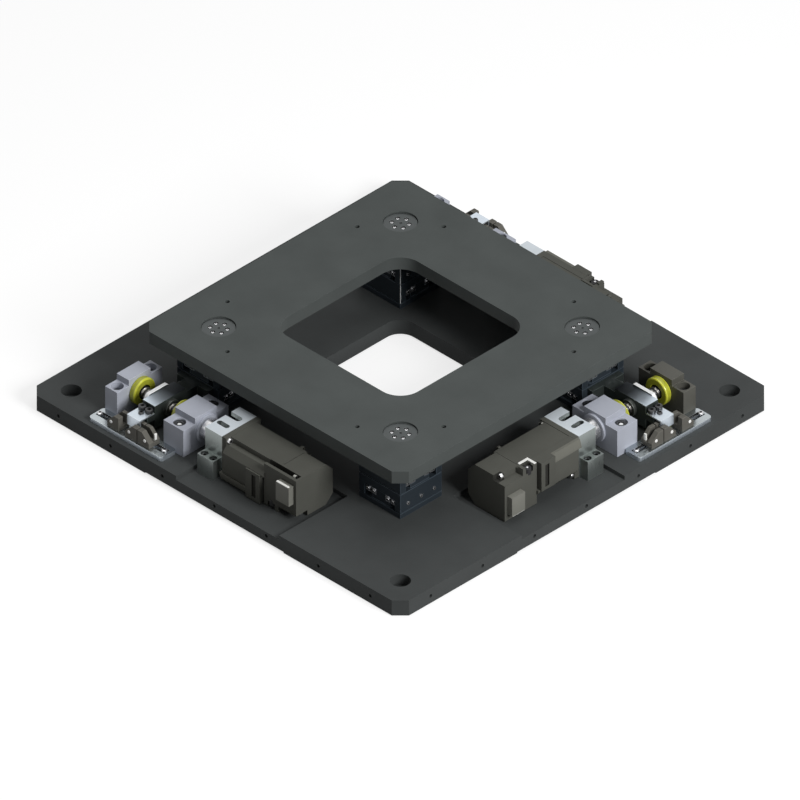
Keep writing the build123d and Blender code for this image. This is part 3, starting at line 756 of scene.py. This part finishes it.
@dataclass
class ScrewMaker:
    """Makes screw heads with a hexagon socket, one master for each size.

    Attributes:
        masters: The masters made so far, by their name.
        sides: Sides of a head.
        socket_share: Width of the socket over the head's.
        socket_depth: Depth of the socket over the head's height.
    """

    masters: dict[str, Piece] = field(default_factory=dict)
    sides: int = 18
    socket_share: float = 0.52
    socket_depth: float = 0.6

    def master(self, radius: float, drive: Drive, finish: Finish) -> Piece:
        """Gives the head of a size, standing on the origin and looking up.

        Args:
            radius: Radius of the head in millimetres.
            drive: Kind of head.
            finish: Its finish.

        Returns:
            The master, which isn't part of the scene's object.
        """
        name = f"{drive.name.lower()}_{round(radius * 100)}_{finish.name}"
        if name in self.masters:
            return self.masters[name]
        height, roundness = (share * radius for share in drive.value)
        head = rod(radius, height, self.sides, finish, (0.0, 0.0, height / 2))
        with editing(head):
            pick_top(head)
            bpy.ops.mesh.bevel(offset=roundness * MM, segments=2, affect="EDGES")
        depth = 2 * self.socket_depth * height
        # The socket's walls are painted near black: painted shade.
        cut(head, rod(radius * self.socket_share, depth, 6, PAINTED_RECESS_SHADE, (0.0, 0.0, height)))
        only(head)
        bpy.ops.object.shade_smooth_by_angle(angle=CREASE)
        head.name = name
        self.masters[name] = head
        return head

    def clear(self) -> None:
        """Removes the masters, once all copies are made."""
        discard(*self.masters.values())
        self.masters.clear()


SCREWS = ScrewMaker()


# Sub-assemblies
@dataclass
class Plates:
    """Base plate and top plate.

    Attributes:
        edge: Width of the broken edges in metres.
    """

    edge: float = COMMON

    def build(self) -> None:
        """Dresses both plates."""
        for node in ("base_plate", "top_plate"):
            dressed(node, self.edge)


@dataclass
class GuideModule:
    """One corner's crossed-roller guides, carriage, saddle and pivot.

    Attributes:
        corner: The corner it stands at.
        pitch: Distance of the pivot from the stage's middle, in millimetres.
        half_side: Half the module's side.
        rail_half: Half the rails' length.
        lower_mid: Level of the lower rollers.
        upper_mid: Level of the upper rollers.
        inner_mid: Distance of an inner rail's middle from the guide's line.
        outer_mid: Distance of an outer rail's middle.
        preload_pitch: Distance from one preload screw to the next.
        end_radius: Head radius of the screws at the rail ends.
        preload_radius: Head radius of the preload screws.
        cap_top: Level of the pivot cap's face, sunk below the top plate's.
        cap_ring: Radius of its ring of screws.
        cap_screws: Number of them.
        cap_turn: Angle of the first of them in degrees.
        cap_sink: Depth of their seats.
        cap_hole: Radius and depth of their holes.
        centre_hole: Radius and depth of the hole in the cap's middle.
        edge: Width of the broken edges in metres.
    """

    corner: Corner
    pitch: float = 105.0
    half_side: float = 24.0
    rail_half: float = 22.5
    lower_mid: float = 27.0
    upper_mid: float = 46.0
    inner_mid: float = 8.1
    outer_mid: float = 14.5
    preload_pitch: float = 15.0
    end_radius: float = 1.9
    preload_radius: float = 1.7
    cap_top: float = 77.7
    cap_ring: float = 7.2
    cap_screws: int = 6
    cap_turn: float = 33.0
    cap_sink: float = 1.3
    cap_hole: Pair = (2.1, 1.6)
    centre_hole: Pair = (1.3, 1.0)
    edge: float = FIRM

    def build(self) -> None:
        """Dresses the module's nodes and adds its screws; the back one's inner edge gets a painted
        highlight.
        """
        side, reach = self.pitch - self.half_side, 0.6
        for node in (self.corner.named("carriage"), self.corner.named("saddle")):
            piece = dressed(node, self.edge)
            if self.corner is Corner.BACK:
                low, high = (-side - reach, side - reach, 15.0), (-side + reach, side + reach, 64.0)
                # The back module's inner vertical edge is painted near white: a painted highlight.
                repaint(piece, GLINT, (low, high))
        self.cap()
        self.end_screws()
        self.preload_screws()
        self.cap_ring_screws()

    def end_screws(self) -> None:
        """Adds the screws at both ends of each rail, on the piece that holds the rail."""
        carriage = self.corner.carriage_body()
        head = SCREWS.master(self.end_radius, Drive.BUTTON, BRIGHT_STEEL)
        rows = [
            ("lower_inner", self.inner_mid, True, "base"),
            ("lower_outer", self.outer_mid, True, carriage),
            ("upper_inner", self.inner_mid, False, carriage),
            ("upper_outer", self.outer_mid, False, self.corner.named("saddle")),
        ]
        for label, offset, lower, body in rows:
            places = []
            for end in (-1, 1):
                for side in (-1, 1):
                    along, across = end * self.rail_half, side * offset
                    level = self.lower_mid if lower else self.upper_mid
                    point = (-self.pitch + (along if lower else across),
                             self.pitch + (across if lower else along), level)
                    way = (end, 0, 0) if lower else (0, end, 0)
                    places.append(self.corner.place(point, way))
            spread(head, places, self.corner.named(f"{label}_end_screws"), body)

    def preload_screws(self) -> None:
        """Adds the rows of screws that press the outer rails onto their rollers."""
        head = SCREWS.master(self.preload_radius, Drive.SET, BRIGHT_STEEL)
        steps = [self.preload_pitch * step for step in (-1, 0, 1)]
        outer, inner = self.pitch + self.half_side, self.half_side - self.pitch
        lower = [(step - self.pitch, outer, self.lower_mid) for step in steps]
        upper = [(inner, self.pitch + step, self.upper_mid) for step in steps]
        for label, points, way, body in (
            ("lower", lower, OUT, self.corner.carriage_body()),
            ("upper", upper, ALONG, self.corner.named("saddle")),
        ):
            places = [self.corner.place(point, way) for point in points]
            spread(head, places, self.corner.named(f"{label}_preload_screws"), body)

    def cap_places(self, level: float) -> list[Matrix]:
        """Gives the places of the pivot cap's screws.

        Args:
            level: Their level.

        Returns:
            The places.
        """
        middle = self.corner.carry() @ (Vector((-self.pitch, self.pitch, level)) * MM)
        step = 360.0 / self.cap_screws
        angles = [radians(self.cap_turn + step * turn) for turn in range(self.cap_screws)]
        return [
            Matrix.Translation(middle + Vector((cos(angle), sin(angle), 0.0)) * self.cap_ring * MM)
            for angle in angles
        ]

    def cap(self) -> None:
        """Sinks the pivot cap's face and drills the holes of its screws and its centre."""
        node, reach = self.corner.named("pivot_cap"), 20.0
        piece = drawn_from(node)
        paint(piece, CAP_STEEL.material())
        x, y, _ = self.corner.carry() @ Vector((-self.pitch, self.pitch, 0.0))
        centre = Matrix.Translation(Vector((x, y, self.cap_top)) * MM)
        low = (x - reach, y - reach, self.cap_top)
        high = (x + reach, y + reach, self.cap_top + 5.0)
        # The screw holes and the centre hole are painted near black inside: painted shade.
        cut(
            piece,
            box((low, high), CAP_STEEL),
            drill(self.cap_places(self.cap_top), *self.cap_hole, PAINTED_RECESS_SHADE),
            drill([centre], *self.centre_hole, PAINTED_RECESS_SHADE),
        )
        bevelled(piece, CAP_STEEL, THIN)
        standing_for(piece, node)

    def cap_ring_screws(self) -> None:
        """Adds the ring of screws in the pivot cap."""
        head = SCREWS.master(1.5, Drive.BUTTON, BRIGHT_STEEL)
        places = self.cap_places(self.cap_top - self.cap_sink)
        spread(head, places, self.corner.named("pivot_cap_screws"), self.corner.named("saddle"))


@dataclass
class Motors:
    """The three motors, finished once at the back corner and carried to their drives.

    Attributes:
        flange_end: Station where the flange ends and the stator starts, in millimetres.
        tie_reach: Distance of the front screws from the shaft's line, each way.
        head_radius: Radius of the screw heads.
        receptacle_top: Level of the receptacle block.
        hollows: What is cut out of the housing.
        ribs: What is added to it.
        brow: Where the cover's upper slope is, painted lighter than the rest as painted light where
            it faces the lamps.
        sill: Where its lower slope is.
        plug: Where the plug's case is.
        edge: Width of the broken edges in metres.
    """

    flange_end: float = -15.0
    tie_reach: float = 16.9
    head_radius: float = 2.4
    receptacle_top: float = 52.0
    hollows: tuple[Span, ...] = (
        ((20.0, 190.6, 27.0), (24.6, 194.0, 48.5)),  # slot in the outer side
        ((60.5, 175.4, 46.8), (70.0, 181.0, 54.0)),  # pocket of the rear screw
        ((30.0, 180.4, 10.0), (66.0, 185.6, 17.5)),  # groove through the receptacle block
        ((38.5, 145.0, 46.0), (43.5, 151.0, 54.0)),  # pockets of the inner screws
        ((38.5, 145.0, 10.0), (43.5, 151.0, 18.0)),
        ((35.4, 181.5, 47.0), (43.4, 190.0, 53.0)),  # notch round the receptacle
    )
    ribs: tuple[Span, ...] = (
        ((-18.5, 180.0, 44.0), (31.5, 186.1, 51.9)),  # filling of the upper channel
        ((43.8, 182.8, 51.0), (46.8, 188.4, 53.6)),  # post behind the receptacle
    )
    brow: Span = ((-18.5, 185.0, 44.0), (13.5, 190.65, 51.8))
    sill: Span = ((-14.9, 185.5, 17.5), (31.5, 190.65, 25.0))
    plug: Span = ((49.0, 189.0, 17.0), (66.0, 195.0, 37.0))
    edge: float = FIRM

    def build(self) -> None:
        """Finishes one motor with its trim and carries copies to the drives."""
        housing = self.housing()
        trims = {
            "tie_screws": self.tie_screws(), "white_rim": self.white_rim(),
            "plug_label": self.plug_label(), "contact": self.contact(),
        }
        for corner in DRIVEN:
            carry, node = corner.carry_motor(), corner.named("motor")
            piece = copied(housing, carry)
            piece.name = f"{node}_finished"
            standing_for(piece, node)
            for label, trim in trims.items():
                twin = copied(trim, carry)
                twin.name = corner.named(f"motor_{label}")
                if corner is Corner.BACK and label in ("white_rim", "tie_screws"):
                    paint(twin, MOTOR_PAINT.material(), MOTOR_SHADE.material())
                mounted(twin, "base")
        discard(housing, *trims.values())

    def housing(self) -> Piece:
        """Cuts slot, pockets and groove, adds the cover's slopes and a post, breaks the edges.

        Returns:
            The housing at the back corner, as are all its trims.
        """
        piece = drawn_from("motor_c")
        cut(piece, *(box(span, MOTOR_SHADE) for span in self.hollows))
        filling, post = (box(span, MOTOR_PAINT) for span in self.ribs)
        # The upper slope takes the lighter copy of the motor paint, painted light.
        brow = sloped(self.brow, (188.6, 51.8), 21.6, MOTOR_SLOPE_PAINTED_LIGHT)
        sill = sloped(self.sill, (185.6, 17.6), -40.9, MOTOR_PAINT)
        merge(piece, filling, brow, sill, post)
        bevelled(piece, MOTOR_PAINT, self.edge)
        repaint(piece, PLUG_CASE, self.plug)
        return piece

    def tie_screws(self) -> Piece:
        """Makes the screws at the flange and those at the rear of the stator.

        Returns:
            The screws as one piece.
        """
        # Like screws take a bright or a dark finish: the dark one is painted shade on heads that
        # lie in shade.
        bright, shaded_head, painted = (
            SCREWS.master(self.head_radius, Drive.SOCKET, finish)
            for finish in (BRIGHT_STEEL, SCREW_PAINTED_SHADE, MOTOR_PAINT)
        )
        reach = self.tie_reach
        heads = [
            (shaded_head, (self.flange_end, AXIS_LINE - reach, AXIS_LEVEL + reach)),
            (bright, (self.flange_end, AXIS_LINE + reach, AXIS_LEVEL - reach)),
            (bright, (61.5, 178.2, 49.7)), (shaded_head, (60.0, 182.4, 14.2)),
            (painted, (34.5, 149.2, 49.1)), (painted, (34.5, 149.2, 14.9)),
        ]
        copies = [copied(head, Corner.BACK.place(point, ALONG)) for head, point in heads]
        return joined(copies, "tie_screws")

    def white_rim(self) -> Piece:
        """Makes the white corner rim on top of the receptacle block.

        Returns:
            The rim.
        """
        top = self.receptacle_top
        rim = box(((31.0, 177.6, top), (42.4, 188.0, top + 0.5)), CONNECTOR_WHITE)
        cut(rim, box(((33.4, 180.0, top - 1.0), (44.0, 190.0, top + 1.5)), CONNECTOR_WHITE))
        bevelled(rim, CONNECTOR_WHITE, HAIR)
        return rim

    def plug_label(self) -> Piece:
        """Makes the white strip along the plug's lower side, which faces up on the left motor.

        Returns:
            The strip.
        """
        strip = box(((50.2, 191.6, 17.5), (63.8, 193.8, 18.2)), CONNECTOR_WHITE)
        bevelled(strip, CONNECTOR_WHITE, HAIR)
        return strip

    def contact(self) -> Piece:
        """Makes the near-black insert of the round receptacle, painted shade in the socket, with
        its bright contact, which is also a painted highlight.

        Returns:
            Both as one piece.
        """
        length, rounds = 6.0, []
        # Near-black insert as painted shade in the socket, small bright contact as a painted
        # highlight.
        for radius, top, finish in ((3.5, 50.6, PAINTED_RECESS_SHADE), (1.1, 51.1, BRIGHT_STEEL)):
            piece = rod(radius, length, 16, finish, (39.2, 185.6, top - length / 2))
            bevelled(piece, finish, COMMON)
            rounds.append(piece)
        return joined(rounds, "contact")


@dataclass
class DriveLine:
    """One corner's coupling, ball screw, nut, bracket and sensor dog.

    Attributes:
        corner: The corner it drives.
        thread_start: Station where the thread starts, in millimetres.
        turns: Number of its turns.
        lead: Lead of the thread.
        groove: Radius of the thread's groove.
        groove_ring: Radius of the circle that the groove's middle follows.
        clamp_stations: Stations of the coupling's clamp screws.
        clamp_offset: Their distance from the shaft's line.
        clamp_bore: Radius of their counterbores.
        clamp_sink: Depth of those.
        arm_level: Level of the dog's arm.
        flange_rim: Where the upper rim of the nut's flange is, which gets a painted highlight.
        bracket_roof: Where the bracket's upper face is, which gets a painted reflection.
        lock_nut: Where the lock nut is.
    """

    corner: Corner
    thread_start: float = -136.0
    turns: int = 14
    lead: float = 4.0
    groove: float = 1.15
    groove_ring: float = 5.35
    clamp_stations: Pair = (-45.2, -29.8)
    clamp_offset: float = 6.4
    clamp_bore: float = 2.3
    clamp_sink: float = 7.0
    arm_level: float = 35.5
    flange_rim: Span = ((-117.2, 150.0, 38.0), (-113.3, 182.0, 45.0))
    bracket_roof: Span = ((-115.0, 140.0, 41.3), (-98.0, 186.0, 41.6))
    lock_nut: Span = ((-56.4, 150.0, 20.0), (-49.6, 182.0, 44.0))

    def build(self) -> None:
        """Builds the drive's pieces from the coupling to the dog."""
        nut = dressed(self.corner.named("ball_nut"), COMMON, NUT_STEEL)
        # The flange's upper rim is painted near white: a painted highlight.
        repaint(nut, GLINT, zone(self.corner, self.flange_rim))
        bracket = dressed(self.corner.named("nut_bracket"), WIDE, BRACKET_SIDE)
        # The roof gets the lighter copy of the metal: a painted reflection of the sky, darker
        # inwards.
        repaint(bracket, BRACKET_ROOF_PAINTED_REFLECTION, zone(self.corner, self.bracket_roof))
        dressed(self.corner.named("sensor_dog"), THIN)
        dressed(self.corner.named("support_block"), BROAD)
        self.threaded_screw()
        self.clamped_coupling()
        self.carriage_screws()

    def threaded_screw(self) -> None:
        """Cuts the helical ball groove into the screw."""
        bpy.ops.mesh.primitive_circle_add(
            vertices=8, radius=self.groove * MM, location=(0, self.groove_ring * MM, 0)
        )
        cutter = bpy.context.object
        settle(cutter)
        modify(cutter, "SCREW", axis="X", angle=2 * pi, screw_offset=self.lead * MM,
               iterations=self.turns, steps=20, render_steps=20)
        with editing(cutter):
            bpy.ops.mesh.select_all(action="SELECT")
            bpy.ops.mesh.fill_holes(sides=0)
            bpy.ops.mesh.normals_make_consistent(inside=False)
        start = Vector((self.thread_start, AXIS_LINE, AXIS_LEVEL)) * MM
        cutter.data.transform(Matrix.Translation(start))
        helix = copied(cutter, self.corner.carry())
        discard(cutter)
        paint(helix, THREAD_SHADE.material())
        node = self.corner.named("ball_screw")
        piece = drawn_from(node)
        bevelled(piece, SCREW_STEEL, FINE)
        cut(piece, helix)
        smooth(piece)
        repaint(piece, BRIGHT_STEEL, zone(self.corner, self.lock_nut))
        standing_for(piece, node)

    def clamped_coupling(self) -> None:
        """Cuts the clamp screws' counterbores into the coupling and sets the screws in them."""
        node = self.corner.named("coupling")
        piece = drawn_from(node)
        places = [
            self.corner.place((station, AXIS_LINE + self.clamp_offset, AXIS_LEVEL + 10.0))
            for station in self.clamp_stations
        ]
        cut(piece, drill(places, self.clamp_bore, self.clamp_sink, CLEAR_ANODISED))
        bevelled(piece, CLEAR_ANODISED, FINE)
        standing_for(piece, node)
        head = SCREWS.master(1.9, Drive.SOCKET, BLACK_OXIDE)
        spread(
            head, lowered(places, self.clamp_sink), self.corner.named("clamp_screws"), BODY_OF[node]
        )

    def carriage_screws(self) -> None:
        """Adds the screws of the dog, of the nut's flange and of the bracket's flange."""
        arm = [(along, 187.6, self.arm_level) for along in (-110.4, -102.6)]
        root = [(-106.5, 193.0, self.arm_level)]
        flange = [
            (-117.0, AXIS_LINE + side, AXIS_LEVEL + up)
            for side in (-10.4, 10.4) for up in (-5.4, 5.4)
        ]
        foot = [(along, 135.0, 30.0) for along in (-119.0, -91.0)]
        for label, points, way, radius, drive in (
            ("dog_screws", arm, UP, 3.4, Drive.SOCKET),
            ("dog_pin", root, UP, 2.4, Drive.BUTTON),
            ("nut_screws", flange, BACKWARDS, 1.9, Drive.SOCKET),
            ("bracket_screws", foot, OUT, 2.4, Drive.BUTTON),
        ):
            head = SCREWS.master(radius, drive, BLACK_OXIDE)
            places = [self.corner.place(point, way) for point in points]
            spread(head, places, self.corner.named(label), self.corner.carriage_body())


@dataclass
class BaseFittings:
    """Blocks, stoppers, mounts, sensors and their screws on the base plate.

    Attributes:
        foot_level: Level of the mounts' feet, in millimetres.
        foot_stations: Stations of their screws.
        foot_lines: Distances of their screws from the stage's middle.
        foot_bore: Radius of the counterbores.
        foot_sink: Depth of the counterbores.
        plate_level: Level of the sensor plates.
        plate_stations: Stations of their screws.
        lamp_stations: Stations of the sensors' lamps.
        sensor_face: Distance of the sensors' outer faces from the stage's middle.
        stopper_bore: Radius of the stoppers' wide bores.
        stopper_sink: Depth of those bores.
        bolt_spots: Station and level of the painted highlights in the sockets of the blocks'
            screws.
        bolt_offset: Distance of those screws from the ball screw's line.
        slot_beds: Start and end of the sunk beds round the plates' slots.
    """

    foot_level: float = 30.0
    foot_stations: Pair = (-35.6, -25.6)
    foot_lines: Pair = (141.5, 190.5)
    foot_bore: float = 3.4
    foot_sink: float = 4.5
    plate_level: float = 19.0
    plate_stations: Pair = (-146.4, -72.2)
    lamp_stations: Point = (-125.9, -105.2, -87.1)
    sensor_face: float = 208.25
    stopper_bore: float = 5.4
    stopper_sink: float = 3.5
    bolt_spots: tuple[Pair, ...] = ((-142.0, 33.4), (-70.0, 38.4))
    bolt_offset: float = 19.0
    slot_beds: tuple[Pair, ...] = ((-148.4, -129.6), (-84.0, -69.4))

    def build(self) -> None:
        """Dresses the nodes that the drives share and adds their screws."""
        dressed("guide_bases", COMMON)
        dressed("fixed_blocks", BROAD)
        dressed("photo_sensors", COMMON)
        dressed("block_screws", FINE)
        self.stoppers()
        self.bolt_socket_glints()
        self.mounts()
        self.slotted_plates()
        self.plate_screws()
        self.sensor_lamps()

    def stoppers(self) -> None:
        """Widens the stoppers' bores where the screw enters them."""
        piece = drawn_from("stopper_rings")
        places = [
            corner.place((along, AXIS_LINE, AXIS_LEVEL), way)
            for corner in DRIVEN for along, way in ((-129.0, ALONG), (-87.5, BACKWARDS))
        ]
        # The widened bores are painted near black inside: painted shade.
        cut(piece, drill(places, self.stopper_bore, self.stopper_sink, PAINTED_RECESS_SHADE))
        bevelled(piece, URETHANE, WIDE)
        standing_for(piece, "stopper_rings")

    def bolt_socket_glints(self) -> None:
        """Sets a painted highlight, a small near-white disc, in the socket of each of the blocks'
        screws.
        """
        # Painted highlight: a near-white disc just inside each socket.
        glint_disc = rod(2.0, 1.0, 6, GLINT)
        bevelled(glint_disc, GLINT, THIN)
        spots = [
            (along, AXIS_LINE + side, level)
            for along, level in self.bolt_spots for side in (-self.bolt_offset, self.bolt_offset)
        ]
        spread(glint_disc, at_drives(spots), "bolt_socket_glints", "base")
        discard(glint_disc)

    def slotted_plates(self) -> None:
        """Mills the sunk beds round the sensor plates' slots."""
        piece = drawn_from("sensor_plates")
        paint(piece, SENSOR_PLATE.material())
        for corner in DRIVEN:
            for start, end in self.slot_beds:
                bed = zone(corner, ((start, 197.2, 17.4), (end, 203.6, 21.0)))
                # The sunk beds are painted near black: painted shade.
                cut(piece, box(bed, PAINTED_RECESS_SHADE))
        bevelled(piece, SENSOR_PLATE, FINE)
        # The sides and underside keep the lighter plated sheet, painted light against the darker
        # top.
        repaint(piece, PLATED_SHEET, ((-FAR, -FAR, 14.0), (FAR, FAR, 17.1)))  # sides and underside
        standing_for(piece, "sensor_plates")

    def mounts(self) -> None:
        """Counterbores the mounts' feet and sets their screws."""
        places = at_drives([
            (along, across, self.foot_level)
            for along in self.foot_stations for across in self.foot_lines
        ])
        piece = drawn_from("motor_mounts")
        paint(piece, MOUNT_SIDE.material())
        cut(piece, drill(places, self.foot_bore, self.foot_sink, MOUNT_SIDE))
        bevelled(piece, MOUNT_SIDE, FIRM)
        # The roofs get the light copy, a painted reflection of the sky; the sides keep the dark
        # copy, painted shade.
        repaint(piece, MOUNT_ROOF_PAINTED_REFLECTION, ((-FAR, -FAR, 51.95), (FAR, FAR, 52.1)))  # the roofs
        standing_for(piece, "motor_mounts")
        head = SCREWS.master(2.9, Drive.SOCKET, BLACK_OXIDE)
        spread(head, lowered(places, self.foot_sink), "mount_screws", "base")

    def plate_screws(self) -> None:
        """Adds the screws in the sensor plates' slots."""
        head = SCREWS.master(2.6, Drive.BUTTON, BRIGHT_STEEL)
        places = at_drives([(along, 200.4, self.plate_level) for along in self.plate_stations])
        spread(head, places, "sensor_plate_screws", "base")

    def sensor_lamps(self) -> None:
        """Adds the lens of each sensor's lamp, and the white plug of the last sensor."""
        lens = rod(1.5, 1.0, 16, LAMP_LENS)
        bevelled(lens, LAMP_LENS, COMMON)
        places = at_drives([(along, self.sensor_face, 25.2) for along in self.lamp_stations], OUT)
        spread(lens, places, "sensor_lamps", "base")
        discard(lens)
        plug = box(((-82.5, 199.8, 25.4), (-81.2, 202.2, 31.4)), CONNECTOR_WHITE)
        bevelled(plug, CONNECTOR_WHITE, THIN)
        places = [corner.carry() for corner in DRIVEN]
        spread(plug, places, "sensor_plugs", "base")
        discard(plug)


# Studio
@dataclass
class Studio:
    """Pale floor, soft lights and the camera at the photograph's angle.

    Attributes:
        azimuth: Camera's angle round the object in degrees.
        elevation: Its angle above the horizon.
        width: Width of the picture in metres.
        distance: Distance of the camera from its aim.
        aim: Point of the stage that the picture is centred near.
        shift_right: How far the aim lies to the right of that point.
        shift_up: How far it lies above.
    """

    azimuth: float = 45.0
    elevation: float = 35.264
    width: float = 0.6532
    distance: float = 2.0
    aim: Point = (0.0, 0.0, 0.015)
    shift_right: float = -0.00033
    shift_up: float = -0.00776

    def build(self) -> None:
        """Sets the camera, floor, lights, background and view transform."""
        self.camera()
        self.floor()
        self.lamp("key", (-0.05, 0.05, 1.5), 1.3, 8.7)
        self.lamp("side", (2.8, -0.05, 1.8), 1.2, 96.0)
        self.world()
        bpy.context.scene.view_settings.view_transform = "Standard"

    def camera(self) -> None:
        """Places the camera."""
        turn, rise = radians(self.azimuth), radians(self.elevation)
        back = Vector((sin(turn) * cos(rise), -cos(turn) * cos(rise), sin(rise)))
        look = (-back).to_track_quat("-Z", "Y")
        right, up = look @ Vector((1, 0, 0)), look @ Vector((0, 1, 0))
        aim = Vector(self.aim) + right * self.shift_right + up * self.shift_up
        lens = bpy.data.cameras.new("camera")
        lens.type = "ORTHO"
        lens.ortho_scale = self.width
        camera = bpy.data.objects.new("camera", lens)
        bpy.context.scene.collection.objects.link(camera)
        camera.location = aim + back * self.distance
        camera.rotation_mode = "QUATERNION"
        camera.rotation_quaternion = look
        bpy.context.scene.camera = camera

    def floor(self) -> None:
        """Lays the pale floor, which the camera sees as white with the object's shadow on it."""
        bpy.ops.mesh.primitive_plane_add(size=8.0, location=(0, 0, -0.0006))
        floor = bpy.context.object
        floor.name = "studio_floor"
        material = bpy.data.materials.new("studio_floor")
        material.use_nodes = True
        feed(material.node_tree.nodes["Principled BSDF"], {
            "Base Color": (0.35, 0.35, 0.35, 1),
            "Roughness": 0.9,
            "Specular IOR Level": 0.0,
            "Emission Color": (1, 1, 1, 1),
            "Emission Strength": self.seen(material.node_tree, 0.72, 0.0),
        })
        paint(floor, material)

    def world(self) -> None:
        """Lights the room evenly and shows it white."""
        world = bpy.data.worlds.new("studio")
        bpy.context.scene.world = world
        world.use_nodes = True
        feed(world.node_tree.nodes["Background"], {
            "Color": (1, 1, 1, 1), "Strength": self.seen(world.node_tree, 1.0, 0.15),
        })

    def seen(self, tree: Tree, shown: float, hidden: float) -> Socket:
        """Gives a strength for rays that show a surface and another for rays that light one.

        Args:
            tree: The material's node tree.
            shown: Strength for camera, gloss and glass rays.
            hidden: Strength for all others.

        Returns:
            The socket with the strength.
        """
        path = add_node(tree, "LightPath", {}).outputs
        total = path["Is Camera Ray"]
        for ray in ("Is Glossy Ray", "Is Transmission Ray"):
            total = add_node(tree, "Math", {0: total, 1: path[ray]}, "MAXIMUM").outputs[0]
        strength = add_node(tree, "MapRange", {"Value": total, "To Min": hidden, "To Max": shown})
        return strength.outputs["Result"]

    def lamp(self, name: str, place: Point, size: float, power: float) -> None:
        """Hangs a soft square lamp that faces the stage.

        Args:
            name: Name of the lamp.
            place: Where it hangs, in metres.
            size: Its side in metres.
            power: Its power in watts.
        """
        light = bpy.data.lights.new(name, "AREA")
        light.shape = "SQUARE"
        light.size = size
        light.energy = power
        lamp = bpy.data.objects.new(name, light)
        bpy.context.scene.collection.objects.link(lamp)
        lamp.location = place
        lamp.rotation_mode = "QUATERNION"
        lamp.rotation_quaternion = (-Vector(place)).to_track_quat("-Z", "Y")


def paint_nodes() -> None:
    """Gives each CAD node the finish of its material slot."""
    for name, node in NODES.items():
        paint(node, SLOT_FINISH[SLOT_OF[name]].material())


def main() -> None:
    """Builds all sub-assemblies in order, then the studio."""
    logging.basicConfig(level=logging.INFO, format="%(message)s")
    bpy.ops.object.select_all(action="DESELECT")
    paint_nodes()
    Plates().build()
    for corner in Corner:
        GuideModule(corner).build()
    Motors().build()
    for corner in DRIVEN:
        DriveLine(corner).build()
    BaseFittings().build()
    SCREWS.clear()
    Studio().build()


if __name__ == "__main__":
    main()
